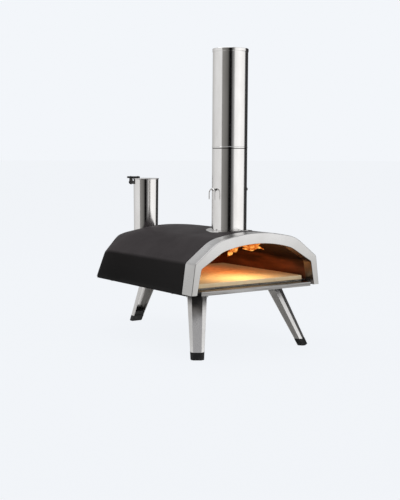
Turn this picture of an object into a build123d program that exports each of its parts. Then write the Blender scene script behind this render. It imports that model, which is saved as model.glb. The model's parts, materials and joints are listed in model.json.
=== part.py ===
from build123d import *
import os
from math import atan2, cos, degrees, radians, sin, tan

# Portable wood-fired pizza oven, standing on three folding legs.
# Frame: +Z up, the mouth faces -Y, the origin is on the floor under the middle of the whole oven.
# "Depth" is the distance behind the front face of the trim.

os.makedirs("parts", exist_ok=True)

# ---- overall size ----
DEPTH = 662.0            # front face of the trim to the back of the tray grip
HEIGHT = 730.0           # floor to the top of the chimney
FRONT = -DEPTH / 2       # Y of the front face
CUT_SPAN = 1000.0        # larger than the oven, for trimming solids with boxes
ON_BASE = (Align.CENTER, Align.CENTER, Align.MIN)
ON_FRONT = (Align.CENTER, Align.MIN, Align.CENTER)
FIT = 0.06               # radial running clearance of a sliding or turning pair
SNUG = 0.03              # radial clearance of a pair that turns together
GAP = 0.3                # between neighbours that don't touch
PAST = 1.0               # how far a cutting solid runs past the face that it cuts

# ---- arch of the body, half widths and heights ----
FOOT_X = 194.5
FOOT_Z = 153.9
CREASE_X = 184.5
CREASE_Z = 225.5
SHOULDER_X = 135.0
SHOULDER_Z = 262.3
CROWN_X = 88.0
CROWN_EDGE_Z = 281.2
CROWN_Z = 290.5
CREASE_R = 12.0
ARCH_BELOW = 30.0        # the arch legs are drawn this far below the foot, then trimmed

# ---- mouth, half widths and heights ----
MOUTH_X = 177.8
MOUTH_CREASE_X = 166.3
MOUTH_CREASE_Z = 213.3
MOUTH_SHOULDER_X = 105.0
MOUTH_SHOULDER_Z = 249.5
MOUTH_TOP_Z = 264.5
MOUTH_CREASE_R = 8.0
MOUTH_SHOULDER_R = 70.0

# ---- sheet thicknesses ----
TRIM_T = 1.2
SHELL_T = 1.2
LINER_T = 1.0
BASE_T = 1.5
HOUSING_T = 1.5

# ---- body lengths (depths) ----
TRIM_DEPTH = 38.8
JAMB_DEPTH = 28.0
TRIM_EDGE_R = 2.0
SHELL_START = 40.8
REAR_CREASE = 388.0
HOOD_END = 520.0
HOOD_FALL = 11.0         # degrees
TAIL_CORNER = 440.0
TAIL_END = 498.0
TAIL_LEAN = 21.6         # degrees off vertical
TAIL_TURN = 45.9         # degrees between the rear quarter's plan normal and the side
LIP = 12.0               # width of the shell's turned-in foot
FLUE_SLOT = 0.3          # radial room round the flue where it passes through sheet
HOUSING_SLOT = 1.0       # room beside the burner housing where it passes through the shell
SLOT_HEAD = 3.6          # and above it

# ---- chamber ----
LINER_START = 22.0
LINER_END = 393.0
LINER_GAP = 1.6
FLOOR_Z = 163.2
FLOOR_T = 1.6
STONE_SIZE = 330.0
STONE_T = 10.0
STONE_DEPTH = 30.6
BASE_Z = 150.0

# ---- chimney ----
FLUE_DEPTH = 117.8
FLUE_R = 43.1
FLUE_WALL = 0.8
SEAM_Z = 490.0
DAMPER_Z = 389.7
DAMPER_ROD_R = 2.5

# ---- burner housing and hopper ----
HOUSING_X = 52.0
HOUSING_Z0 = 158.0
HOUSING_Z1 = 236.0
HOUSING_REAR_Z = 196.0
HOUSING_FLAT_END = 560.0
HOUSING_END = 625.0
HOPPER_DEPTH = 501.3
HOPPER_R0 = 33.2
HOPPER_R1 = 34.6
HOPPER_TOP = 405.2
HOPPER_WALL = 1.0

# ---- legs ----
LEG_TILT = 28.4          # degrees off vertical, front legs
REAR_LEG_TILT = 30.0
LEG_PIVOT_Z = 139.5
FRONT_PIVOT_X = 118.6
FRONT_PIVOT_DEPTH = 85.6
REAR_PIVOT_DEPTH = 475.7
FRONT_LEG_HEADING = -55.7  # plan direction of the right front leg, degrees from +X
LEG_T = 1.5
PIN_R = 3.0


def at_depth(depth):
    """Y of a point that lies this far behind the front face."""
    return FRONT + depth


def section_plane(depth):
    """Upright plane across the oven: local x is +X, local y is +Z; a negative extrusion goes back."""
    return Plane(origin=(0, at_depth(depth), 0), x_dir=(1, 0, 0), z_dir=(0, -1, 0))


def arch_face(inset, bottom):
    """Arch of the body, drawn inset from the outer skin and cut flat at a height."""
    lean = (FOOT_X - CREASE_X) / (CREASE_Z - FOOT_Z)
    low_x = FOOT_X + lean * ARCH_BELOW
    low_z = FOOT_Z - ARCH_BELOW
    with BuildSketch() as face:
        with BuildLine():
            left = Polyline((-low_x, low_z), (-CREASE_X, CREASE_Z), (-SHOULDER_X, SHOULDER_Z))
            TangentArc(left @ 1, (-CROWN_X, CROWN_EDGE_Z), tangent=left % 1)
            ThreePointArc((-CROWN_X, CROWN_EDGE_Z), (0, CROWN_Z), (CROWN_X, CROWN_EDGE_Z))
            right = Polyline((low_x, low_z), (CREASE_X, CREASE_Z), (SHOULDER_X, SHOULDER_Z))
            TangentArc(right @ 1, (CROWN_X, CROWN_EDGE_Z), tangent=right % 1)
            Line((-low_x, low_z), (low_x, low_z))
        make_face()
        fillet(face.vertices().filter_by_position(Axis.Y, CREASE_Z - PAST, CREASE_Z + PAST), CREASE_R)
        if inset != 0:
            offset(amount=-inset, kind=Kind.TANGENT)
        with Locations((0, bottom)):
            Rectangle(CUT_SPAN, CUT_SPAN, align=(Align.CENTER, Align.MIN), mode=Mode.INTERSECT)
    return face.sketch


def mouth_face(outset, bottom):
    """Opening of the mouth, drawn outset from the jamb and cut flat at a height."""
    lean = (MOUTH_X - MOUTH_CREASE_X) / (MOUTH_CREASE_Z - FOOT_Z)
    low_x = MOUTH_X + lean * ARCH_BELOW
    low_z = FOOT_Z - ARCH_BELOW
    crease = (MOUTH_CREASE_X, MOUTH_CREASE_Z)
    shoulder = (MOUTH_SHOULDER_X, MOUTH_SHOULDER_Z)
    with BuildSketch() as face:
        with BuildLine():
            Polyline((-low_x, low_z), (-crease[0], crease[1]), (-shoulder[0], shoulder[1]))
            ThreePointArc((-shoulder[0], shoulder[1]), (0, MOUTH_TOP_Z), shoulder)
            Polyline((low_x, low_z), crease, shoulder)
            Line((-low_x, low_z), (low_x, low_z))
        make_face()
        crease_points = face.vertices().filter_by_position(Axis.Y, crease[1] - PAST, crease[1] + PAST)
        fillet(crease_points, MOUTH_CREASE_R)
        shoulder_points = face.vertices().filter_by_position(Axis.Y, shoulder[1] - PAST, shoulder[1] + PAST)
        fillet(shoulder_points, MOUTH_SHOULDER_R)
        if outset != 0:
            offset(amount=outset, kind=Kind.TANGENT)
        with Locations((0, bottom)):
            Rectangle(CUT_SPAN, CUT_SPAN, align=(Align.CENTER, Align.MIN), mode=Mode.INTERSECT)
    return face.sketch


def tail_planes(inset):
    """Leaning planes of the shell's rear quarters and rear face; the body lies below each of them."""
    lean = radians(TAIL_LEAN)
    turn = radians(TAIL_TURN)
    planes = []
    for side in (-1, 1):
        normal = (side * cos(turn) * cos(lean), sin(turn) * cos(lean), sin(lean))
        corner = (side * FOOT_X, at_depth(TAIL_CORNER), FOOT_Z)
        planes.append(Plane(origin=corner, z_dir=normal).offset(-inset))
    rear_normal = (0, cos(lean), sin(lean))
    planes.append(Plane(origin=(0, at_depth(TAIL_END), FOOT_Z), z_dir=rear_normal).offset(-inset))
    return planes


def hull_body(inset, start, bottom):
    """Solid envelope of the shell: a straight arch, then a falling hood, cut by the leaning tail planes."""
    drop = (HOOD_END - REAR_CREASE) * tan(radians(HOOD_FALL))
    lowered = section_plane(HOOD_END)
    lowered.origin = lowered.origin - Vector(0, 0, drop)
    with BuildPart() as body:
        with BuildSketch(section_plane(start)):
            add(arch_face(inset, bottom))
        extrude(amount=-(REAR_CREASE - start))
        with BuildSketch(section_plane(REAR_CREASE)):
            add(arch_face(inset, bottom))
        with BuildSketch(lowered):
            add(arch_face(inset, bottom))
        loft(ruled=True)
        for plane in tail_planes(inset):
            split(bisect_by=plane, keep=Keep.BOTTOM)
        with Locations((0, 0, bottom)):
            Box(CUT_SPAN, CUT_SPAN, CUT_SPAN, align=ON_BASE, mode=Mode.INTERSECT)
    return body.part


def plan_outline(inset, start):
    """Plan of the shell's foot, as a list of corners, drawn inset from its edge."""
    turn = radians(TAIL_TURN)
    half = FOOT_X - inset
    end = TAIL_END - inset
    # The rear quarter runs square to its plan normal.
    quarter = (FOOT_X * cos(turn) + TAIL_CORNER * sin(turn)) - inset
    corner = (quarter - half * cos(turn)) / sin(turn)
    end_half = (quarter - end * sin(turn)) / cos(turn)
    right = [(half, start), (half, corner), (end_half, end)]
    left = [(-x, depth) for x, depth in reversed(right)]
    return [(x, at_depth(depth)) for x, depth in right + left]


# ---- screws that hold the base pan under the shell's lip ----
SIDE_SCREW_X = 186.0
SIDE_SCREW_DEPTHS = (90.0, 230.0, 370.0)
TAIL_SCREW_X = 95.0
TAIL_SCREW_DEPTH = 490.0
BASE_SCREWS = [(side * SIDE_SCREW_X, at_depth(depth)) for side in (-1, 1) for depth in SIDE_SCREW_DEPTHS]
BASE_SCREWS += [(side * TAIL_SCREW_X, at_depth(TAIL_SCREW_DEPTH)) for side in (-1, 1)]
SCREW_R = 1.9
SCREW_HOLE_R = 2.1
SCREW_HEAD_R = 3.8
SCREW_HEAD_H = 1.8
SCREW_LENGTH = 9.9
SCREW_HEAD_EDGE = 1.0

# ================= outer body =================

# The shell is one formed sheet. It is divided where its folds and its slot meet, into four simpler pieces.
with BuildPart() as whole_shell:
    add(hull_body(0, SHELL_START, FOOT_Z))
    add(hull_body(SHELL_T, SHELL_START - LIP, FOOT_Z + SHELL_T), mode=Mode.SUBTRACT)
    with BuildSketch(Plane.XY.offset(FOOT_Z - PAST)):
        Polygon(*plan_outline(LIP, 0), align=None)
    extrude(amount=SHELL_T + 2 * PAST, mode=Mode.SUBTRACT)
    with Locations((0, at_depth(FLUE_DEPTH), CROWN_Z)):
        Cylinder(FLUE_R + FLUE_SLOT, MOUTH_TOP_Z - FOOT_Z, mode=Mode.SUBTRACT)
    with Locations((0, at_depth(LINER_END + LIP), FOOT_Z - SLOT_HEAD)):
        Box(
            2 * (HOUSING_X + HOUSING_SLOT),
            CUT_SPAN,
            HOUSING_Z1 - FOOT_Z + 2 * SLOT_HEAD,
            align=(Align.CENTER, Align.MIN, Align.MIN),
            mode=Mode.SUBTRACT,
        )
    with Locations(*[(x, y, FOOT_Z) for x, y in BASE_SCREWS]):
        Cylinder(SCREW_HOLE_R, 2 * SHELL_T + PAST, mode=Mode.SUBTRACT)

with BuildPart() as outer_shell:
    add(whole_shell.part)
    with Locations((0, at_depth(REAR_CREASE), CREASE_Z)):
        Box(CUT_SPAN, CUT_SPAN, CUT_SPAN, align=(Align.CENTER, Align.MAX, Align.MIN), mode=Mode.INTERSECT)
outer_shell.part.label = "outer_shell"
export_step(outer_shell.part, "parts/outer_shell.step")

with BuildPart() as shell_sides:
    add(whole_shell.part)
    with Locations((0, at_depth(REAR_CREASE), CREASE_Z)):
        Box(CUT_SPAN, CUT_SPAN, CUT_SPAN, align=(Align.CENTER, Align.MAX, Align.MAX), mode=Mode.INTERSECT)
shell_sides.part.label = "shell_sides"
export_step(shell_sides.part, "parts/shell_sides.step")

slot_width = 2 * (HOUSING_X + HOUSING_SLOT)
with BuildPart() as shell_tail_sides:
    add(whole_shell.part)
    with Locations((0, at_depth(REAR_CREASE), 0)):
        Box(CUT_SPAN, CUT_SPAN, CUT_SPAN, align=ON_FRONT, mode=Mode.INTERSECT)
        Box(slot_width, CUT_SPAN, CUT_SPAN, mode=Mode.SUBTRACT)
shell_tail_sides.part.label = "shell_tail_sides"
export_step(shell_tail_sides.part, "parts/shell_tail_sides.step")

with BuildPart() as shell_tail_middle:
    add(whole_shell.part)
    with Locations((0, at_depth(REAR_CREASE), 0)):
        Box(slot_width, CUT_SPAN, CUT_SPAN, align=ON_FRONT, mode=Mode.INTERSECT)
shell_tail_middle.part.label = "shell_tail_middle"
export_step(shell_tail_middle.part, "parts/shell_tail_middle.step")

with BuildPart() as front_trim:
    with BuildSketch(section_plane(0)):
        add(arch_face(0, FOOT_Z))
        add(mouth_face(0, FOOT_Z), mode=Mode.SUBTRACT)
    extrude(amount=-TRIM_DEPTH)
    front_edges = front_trim.faces().sort_by(Axis.Y)[0].edges()
    fillet(front_edges.filter_by(lambda edge: edge.center().Z > FOOT_Z + TRIM_EDGE_R), TRIM_EDGE_R)
    with BuildSketch(section_plane(TRIM_T)):
        add(arch_face(TRIM_T, FOOT_Z + TRIM_T))
        add(mouth_face(TRIM_T, FOOT_Z), mode=Mode.SUBTRACT)
    extrude(amount=-TRIM_DEPTH, mode=Mode.SUBTRACT)
    with BuildSketch(section_plane(JAMB_DEPTH)):
        add(mouth_face(TRIM_T + GAP, FOOT_Z - PAST))
    extrude(amount=-(TRIM_DEPTH - JAMB_DEPTH + PAST), mode=Mode.SUBTRACT)
front_trim.part.label = "front_trim"
export_step(front_trim.part, "parts/front_trim.step")


# Inner band that joins the trim to the shell behind the shadow gap.
JOINT_START = 31.0
JOINT_END = 72.0
JOINT_T = 1.0
with BuildPart() as joint_band:
    with BuildSketch(section_plane(JOINT_START)):
        add(arch_face(SHELL_T, FOOT_Z + SHELL_T))
        add(arch_face(SHELL_T + JOINT_T, FOOT_Z), mode=Mode.SUBTRACT)
    extrude(amount=-(JOINT_END - JOINT_START))
joint_band.part.label = "joint_band"
export_step(joint_band.part, "parts/joint_band.step")

# Threshold: a shelf in front of the stone with a brushed flange at the front.
THRESHOLD_X = 166.5
THRESHOLD_TOP = 161.5
THRESHOLD_LOW = 151.4
THRESHOLD_END = 29.6
THRESHOLD_BEND = 1.0
with BuildPart() as threshold:
    with BuildSketch(Plane.YZ.offset(-THRESHOLD_X)):
        with Locations((at_depth(0), THRESHOLD_TOP)):
            Rectangle(THRESHOLD_END, TRIM_T, align=(Align.MIN, Align.MAX))
            Rectangle(TRIM_T, THRESHOLD_TOP - THRESHOLD_LOW, align=(Align.MIN, Align.MAX))
    extrude(amount=2 * THRESHOLD_X)
    fillet(threshold.edges().filter_by(Axis.X).group_by(Axis.Y)[0].sort_by(Axis.Z)[-1], THRESHOLD_BEND)
threshold.part.label = "threshold"
export_step(threshold.part, "parts/threshold.step")

# ================= base =================

PAN_START = 31.0
PAN_INSET = 3.0
PAN_RIM_Z = FOOT_Z - 0.2
with BuildPart() as base_pan:
    with BuildSketch(Plane.XY.offset(BASE_Z)):
        Polygon(*plan_outline(PAN_INSET, PAN_START), align=None)
    extrude(amount=PAN_RIM_Z - BASE_Z)
    with BuildSketch(Plane.XY.offset(BASE_Z + BASE_T)):
        Polygon(*plan_outline(PAN_INSET + BASE_T, PAN_START + BASE_T), align=None)
    extrude(amount=PAN_RIM_Z, mode=Mode.SUBTRACT)
    with Locations(*[(x, y, BASE_Z) for x, y in BASE_SCREWS]):
        Cylinder(SCREW_HOLE_R, LIP, mode=Mode.SUBTRACT)
base_pan.part.label = "base_pan"
export_step(base_pan.part, "parts/base_pan.step")

with BuildPart() as base_screws:
    with Locations(*[(x, y, BASE_Z - SCREW_HEAD_H) for x, y in BASE_SCREWS]):
        Cylinder(SCREW_HEAD_R, SCREW_HEAD_H, align=ON_BASE)
        Cylinder(SCREW_R, SCREW_LENGTH, align=ON_BASE)
    fillet(base_screws.edges().group_by(Axis.Z)[0], SCREW_HEAD_EDGE)
base_screws.part.label = "base_screws"
export_step(base_screws.part, "parts/base_screws.step")

BOARD_X = 178.0
BOARD_START = 46.0
BOARD_ROOM = 0.1
with BuildPart() as base_insulation:
    with BuildSketch(Plane.XY.offset(BASE_Z + BASE_T + BOARD_ROOM)):
        with Locations((0, at_depth((BOARD_START + LINER_END) / 2))):
            Rectangle(2 * BOARD_X, LINER_END - BOARD_START)
    extrude(amount=FLOOR_Z - BASE_Z - BASE_T - 2 * BOARD_ROOM)
base_insulation.part.label = "base_insulation"
export_step(base_insulation.part, "parts/base_insulation.step")

FLOOR_X = 175.5
FLOOR_START = 30.2
with BuildPart() as chamber_floor:
    with BuildSketch(Plane.XY.offset(FLOOR_Z)):
        with Locations((0, at_depth((FLOOR_START + LINER_END) / 2))):
            Rectangle(2 * FLOOR_X, LINER_END - FLOOR_START)
    extrude(amount=FLOOR_T)
chamber_floor.part.label = "chamber_floor"
export_step(chamber_floor.part, "parts/chamber_floor.step")

# ================= chamber =================

STONE_Z = FLOOR_Z + FLOOR_T + 0.2
STONE_CORNER_R = 3.0
STONE_CHAMFER = 0.8
with BuildPart() as baking_stone:
    with BuildSketch(Plane.XY.offset(STONE_Z)):
        with Locations((0, at_depth(STONE_DEPTH + STONE_SIZE / 2))):
            RectangleRounded(STONE_SIZE, STONE_SIZE, STONE_CORNER_R)
    extrude(amount=STONE_T)
    chamfer(baking_stone.edges().group_by(Axis.Z)[-1], STONE_CHAMFER)
baking_stone.part.label = "baking_stone"
export_step(baking_stone.part, "parts/baking_stone.step")

FLUE_HOLE_R = FLUE_R + FLUE_SLOT
with BuildPart() as chamber_liner:
    with BuildSketch(section_plane(LINER_START)):
        add(mouth_face(LINER_GAP + LINER_T, FLOOR_Z))
        add(mouth_face(LINER_GAP, FLOOR_Z - PAST), mode=Mode.SUBTRACT)
    extrude(amount=-(LINER_END - LINER_START))
    with Locations((0, at_depth(FLUE_DEPTH), MOUTH_TOP_Z)):
        Cylinder(FLUE_HOLE_R, FLUE_R, mode=Mode.SUBTRACT)
chamber_liner.part.label = "chamber_liner"
export_step(chamber_liner.part, "parts/chamber_liner.step")

BLANKET_START = 73.0
BLANKET_END = 384.0
BLANKET_ROOM = 0.4
BLANKET_LOW = FLOOR_Z + 2.0
with BuildPart() as shell_insulation:
    with BuildSketch(section_plane(BLANKET_START)):
        add(arch_face(SHELL_T + BLANKET_ROOM, BLANKET_LOW))
        add(mouth_face(LINER_GAP + LINER_T + GAP, FLOOR_Z), mode=Mode.SUBTRACT)
    extrude(amount=-(BLANKET_END - BLANKET_START))
    with Locations((0, at_depth(FLUE_DEPTH), MOUTH_TOP_Z)):
        Cylinder(FLUE_HOLE_R, 2 * FLUE_R, mode=Mode.SUBTRACT)
shell_insulation.part.label = "shell_insulation"
export_step(shell_insulation.part, "parts/shell_insulation.step")

WINDOW_X = 47.0
WINDOW_Z0 = 176.0
WINDOW_Z1 = 230.0
WINDOW_R = 5.0
BULKHEAD_ROOM = 0.1
with BuildPart() as rear_bulkhead:
    with BuildSketch(section_plane(LINER_END + BULKHEAD_ROOM)):
        add(mouth_face(LINER_GAP + LINER_T, FLOOR_Z))
        with Locations((0, (WINDOW_Z0 + WINDOW_Z1) / 2)):
            RectangleRounded(2 * WINDOW_X, WINDOW_Z1 - WINDOW_Z0, WINDOW_R, mode=Mode.SUBTRACT)
    extrude(amount=-SHELL_T)
rear_bulkhead.part.label = "rear_bulkhead"
export_step(rear_bulkhead.part, "parts/rear_bulkhead.step")

# Bent sheet above the window that turns the flame along the crown.
DEFLECTOR_X = 62.0
DEFLECTOR_T = 1.2
DEFLECTOR_BACK = LINER_END - 0.7
DEFLECTOR_REACH = 25.3
DEFLECTOR_Z = (246.0, 233.0, 225.0)   # its top, its bend and its front edge
with BuildPart() as flame_deflector:
    with BuildSketch(Plane.YZ.offset(-DEFLECTOR_X)):
        with BuildLine():
            path = Polyline(
                (at_depth(DEFLECTOR_BACK), DEFLECTOR_Z[0]),
                (at_depth(DEFLECTOR_BACK), DEFLECTOR_Z[1]),
                (at_depth(DEFLECTOR_BACK - DEFLECTOR_REACH), DEFLECTOR_Z[2]),
            )
            offset(path, amount=DEFLECTOR_T / 2)
        make_face()
    extrude(amount=2 * DEFLECTOR_X)
flame_deflector.part.label = "flame_deflector"
export_step(flame_deflector.part, "parts/flame_deflector.step")

# ================= chimney =================

COLLAR_WALL = 1.0
COLLAR_R = FLUE_R - FLUE_WALL - FIT
COLLAR_Z0 = 258.0
COLLAR_Z1 = 322.0
with BuildPart() as flue_collar:
    with Locations((0, at_depth(FLUE_DEPTH), COLLAR_Z0)):
        Cylinder(COLLAR_R, COLLAR_Z1 - COLLAR_Z0, align=ON_BASE)
        Cylinder(COLLAR_R - COLLAR_WALL, CUT_SPAN, mode=Mode.SUBTRACT)
flue_collar.part.label = "flue_collar"
export_step(flue_collar.part, "parts/flue_collar.step")

FLANGE_R = 57.0
FLANGE_T = 1.4
FLANGE_LIFT = 0.02
with BuildPart() as chimney_flange:
    with BuildSketch(section_plane(FLUE_DEPTH - FLANGE_R - PAST)):
        add(arch_face(-FLANGE_T, FOOT_Z))
        add(arch_face(-FLANGE_LIFT, FOOT_Z), mode=Mode.SUBTRACT)
    extrude(amount=-2 * (FLANGE_R + PAST))
    with Locations((0, at_depth(FLUE_DEPTH), CROWN_Z)):
        Cylinder(FLANGE_R, FLANGE_R, mode=Mode.INTERSECT)
        Cylinder(COLLAR_R + SNUG, FLANGE_R, mode=Mode.SUBTRACT)
chimney_flange.part.label = "chimney_flange"
export_step(chimney_flange.part, "parts/chimney_flange.step")

# Dome-headed rivets through the flange, set on the crown.
RIVET_R = 3.0
RIVET_SHANK = 1.6
RIVET_HEAD = 1.0
RIVET_EDGE = 0.9
RIVET_DOME = 1.4
FLANGE_RIVET_R = 50.5
with BuildPart() as flange_rivets:
    with Locations((0, at_depth(FLUE_DEPTH), CROWN_Z + FLANGE_T - RIVET_SHANK)):
        with PolarLocations(FLANGE_RIVET_R, 4, start_angle=90):
            Cylinder(RIVET_R, RIVET_SHANK + RIVET_HEAD, align=ON_BASE)
    fillet(flange_rivets.edges().group_by(Axis.Z)[-1], RIVET_EDGE)
flange_rivets.part.label = "flange_rivets"
export_step(flange_rivets.part, "parts/flange_rivets.step")

# Lower flue: its foot is cut to sit on the crown, and it slides over the collar.
with BuildPart() as chimney_lower:
    with Locations((0, at_depth(FLUE_DEPTH), FOOT_Z)):
        Cylinder(FLUE_R, SEAM_Z - FOOT_Z, align=ON_BASE)
        Cylinder(FLUE_R - FLUE_WALL, CUT_SPAN, mode=Mode.SUBTRACT)
    with BuildSketch(section_plane(0)):
        add(arch_face(-(FLANGE_T + GAP), FOOT_Z - LIP))
    extrude(amount=-CUT_SPAN, mode=Mode.SUBTRACT)
    with BuildSketch(Plane.YZ.offset(-FLUE_R - PAST)):
        with Locations((at_depth(FLUE_DEPTH), DAMPER_Z)):
            Circle(DAMPER_ROD_R + FIT)
    extrude(amount=2 * (FLUE_R + PAST), mode=Mode.SUBTRACT)
chimney_lower.part.label = "chimney_lower"
export_step(chimney_lower.part, "parts/chimney_lower.step")

# Upper flue: a reduced sleeve drops into the lower flue, with a bead that rests on its rim.
SLEEVE_R = FLUE_R - FLUE_WALL - FIT
SLEEVE_IN = SLEEVE_R - FLUE_WALL
SLEEVE_Z = SEAM_Z - 24.0
BEAD_Z = SEAM_Z + GAP
BEAD_H = 4.4
BEAD_OUT = 0.4
BEAD_SLOPE = 0.8
STEP_Z = BEAD_Z + 6.0
STEP_H = 2.0
TUBE_TOP = HEIGHT - FLUE_WALL
with BuildPart() as chimney_upper:
    with BuildSketch(Plane.XZ.offset(-at_depth(FLUE_DEPTH))):
        Polygon(
            (SLEEVE_IN, SLEEVE_Z),
            (SLEEVE_R, SLEEVE_Z),
            (SLEEVE_R, BEAD_Z),
            (FLUE_R, BEAD_Z),
            (FLUE_R + BEAD_OUT, BEAD_Z + BEAD_SLOPE),
            (FLUE_R + BEAD_OUT, BEAD_Z + BEAD_H - BEAD_SLOPE),
            (FLUE_R, BEAD_Z + BEAD_H),
            (FLUE_R, TUBE_TOP),
            (FLUE_R - FLUE_WALL, TUBE_TOP),
            (FLUE_R - FLUE_WALL, STEP_Z + STEP_H),
            (SLEEVE_IN, STEP_Z),
            align=None,
        )
    revolve(axis=Axis((0, at_depth(FLUE_DEPTH), 0), (0, 0, 1)))
chimney_upper.part.label = "chimney_upper"
export_step(chimney_upper.part, "parts/chimney_upper.step")

RIM_OUT = 0.9
RIM_H = 8.0
RIM_EDGE = 0.6
with BuildPart() as chimney_rim:
    with BuildSketch(Plane.XZ.offset(-at_depth(FLUE_DEPTH))):
        Polygon(
            (FLUE_R, HEIGHT - RIM_H),
            (FLUE_R + RIM_OUT, HEIGHT - RIM_H + RIM_EDGE),
            (FLUE_R + RIM_OUT, HEIGHT - RIM_EDGE),
            (FLUE_R + RIM_OUT - RIM_EDGE, HEIGHT),
            (FLUE_R - FLUE_WALL, HEIGHT),
            (FLUE_R - FLUE_WALL, TUBE_TOP),
            (FLUE_R, TUBE_TOP),
            align=None,
        )
    revolve(axis=Axis((0, at_depth(FLUE_DEPTH), 0), (0, 0, 1)))
chimney_rim.part.label = "chimney_rim"
export_step(chimney_rim.part, "parts/chimney_rim.step")

# ================= damper =================

DAMPER_HANDLE_X = -52.6
DAMPER_CAP_X = 46.0
DISC_R = FLUE_R - FLUE_WALL - 1.1
DISC_T = 1.2
DISC_Y = at_depth(FLUE_DEPTH) + DAMPER_ROD_R
DAMPER_SCREW_R = 1.5
DAMPER_SCREW_HEAD = 1.6
DAMPER_CAP_R = 4.3
DAMPER_CAP_L = 9.0
DAMPER_CAP_BORE = 3.1
DAMPER_SCREWS = [(x, DAMPER_Z) for x in (-16.0, 16.0)]
with BuildPart() as damper_rod:
    with BuildSketch(Plane.YZ.offset(DAMPER_HANDLE_X)):
        with Locations((at_depth(FLUE_DEPTH), DAMPER_Z)):
            Circle(DAMPER_ROD_R)
    extrude(amount=DAMPER_CAP_X + DAMPER_CAP_BORE - SNUG - DAMPER_HANDLE_X)
    with BuildSketch(Plane.XZ.offset(-DISC_Y - DISC_T)):
        with Locations(*DAMPER_SCREWS):
            Circle(DAMPER_SCREW_R + SNUG)
    extrude(amount=LIP, mode=Mode.SUBTRACT)
damper_rod.part.label = "damper_rod"
export_step(damper_rod.part, "parts/damper_rod.step")

HANDLE_WIRE_R = 1.4
HANDLE_HALF = 12.0
HANDLE_LOW = 366.0
HANDLE_TOP = DAMPER_Z + DAMPER_ROD_R
with BuildPart() as damper_handle:
    handle_y = at_depth(FLUE_DEPTH)
    arc_z = HANDLE_TOP - HANDLE_HALF
    with BuildLine(Plane.YZ.offset(DAMPER_HANDLE_X)) as handle_path:
        Line((handle_y - HANDLE_HALF, HANDLE_LOW), (handle_y - HANDLE_HALF, arc_z))
        near_end = (handle_y - HANDLE_HALF, arc_z)
        far_end = (handle_y + HANDLE_HALF, arc_z)
        ThreePointArc(near_end, (handle_y, HANDLE_TOP), far_end)
        Line(far_end, (handle_y + HANDLE_HALF, HANDLE_LOW))
    with BuildSketch(Plane(origin=handle_path.line @ 0, z_dir=handle_path.line % 0)):
        Circle(HANDLE_WIRE_R)
    sweep(path=handle_path.line)
damper_handle.part.label = "damper_handle"
export_step(damper_handle.part, "parts/damper_handle.step")

with BuildPart() as damper_disc:
    with BuildSketch(Plane.XZ.offset(-DISC_Y)):
        with Locations((0, DAMPER_Z)):
            Circle(DISC_R)
        with Locations(*DAMPER_SCREWS):
            Circle(DAMPER_SCREW_R + SNUG, mode=Mode.SUBTRACT)
    extrude(amount=-DISC_T)
damper_disc.part.label = "damper_disc"
export_step(damper_disc.part, "parts/damper_disc.step")

with BuildPart() as damper_screws:
    with BuildSketch(Plane.XZ.offset(-(DISC_Y + DISC_T))):
        with Locations(*DAMPER_SCREWS):
            Circle(2 * DAMPER_SCREW_R)
    extrude(amount=-DAMPER_SCREW_HEAD)
    with BuildSketch(Plane.XZ.offset(-(DISC_Y + DISC_T))):
        with Locations(*DAMPER_SCREWS):
            Circle(DAMPER_SCREW_R)
    extrude(amount=2 * (DAMPER_ROD_R + GAP) + DISC_T)
damper_screws.part.label = "damper_screws"
export_step(damper_screws.part, "parts/damper_screws.step")

with BuildPart() as damper_cap:
    with BuildSketch(Plane.YZ.offset(DAMPER_CAP_X)):
        with Locations((at_depth(FLUE_DEPTH), DAMPER_Z)):
            Circle(DAMPER_CAP_R)
    extrude(amount=DAMPER_CAP_L)
    fillet(damper_cap.faces().sort_by(Axis.X)[-1].edges(), DAMPER_CAP_R / 3)
    with BuildSketch(Plane.YZ.offset(DAMPER_CAP_X)):
        with Locations((at_depth(FLUE_DEPTH), DAMPER_Z)):
            Circle(DAMPER_ROD_R)
    extrude(amount=DAMPER_CAP_BORE, mode=Mode.SUBTRACT)
damper_cap.part.label = "damper_cap"
export_step(damper_cap.part, "parts/damper_cap.step")


# ================= burner housing and fuel tray =================

def housing_outline(inset, start):
    """Side view of the burner housing in (depth, height), drawn inset from its outer skin."""
    fall = (HOUSING_Z1 - HOUSING_REAR_Z) / (HOUSING_END - HOUSING_FLAT_END)
    slope_shift = inset * (1 + fall * fall) ** 0.5
    rear = HOUSING_END - inset
    top = HOUSING_Z1 - inset
    flat_end = HOUSING_FLAT_END + (inset - slope_shift) / fall
    rear_z = HOUSING_REAR_Z - slope_shift + fall * inset
    low = HOUSING_Z0 + inset
    corners = [(start, low), (start, top), (flat_end, top), (rear, rear_z), (rear, low)]
    return [(at_depth(depth), z) for depth, z in corners]


HOUSING_START = LINER_END + SHELL_T + 0.2
HOUSING_EDGE_R = 2.0
HOUSING_BORE_R = 31.0
TRAY_SLOT = 3.0          # room round the tray, both sides together
TRAY_X = 44.0
TRAY_Z0 = 162.0
TRAY_Z1 = 187.0
HATCH_ANGLE = degrees(atan2(HOUSING_Z1 - HOUSING_REAR_Z, HOUSING_END - HOUSING_FLAT_END))
HATCH_X = 36.0
HATCH_LENGTH = 54.0
HATCH_T = 2.0
HATCH_CORNER_R = 4.0
HATCH_LAND = 8.0         # how far the hatch overlaps its hole on each side
HATCH_ROOM = 0.4
HATCH_PIN_R = 2.0
HATCH_PIN_Y = -31.5
HATCH_PIN_H = 4.2
SLOPE_MID_DEPTH = (HOUSING_FLAT_END + HOUSING_END) / 2
SLOPE_MID_Z = (HOUSING_Z1 + HOUSING_REAR_Z) / 2
slope_normal = (0, sin(radians(HATCH_ANGLE)), cos(radians(HATCH_ANGLE)))
slope_plane = Plane(origin=(0, at_depth(SLOPE_MID_DEPTH), SLOPE_MID_Z), x_dir=(1, 0, 0), z_dir=slope_normal)
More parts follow.
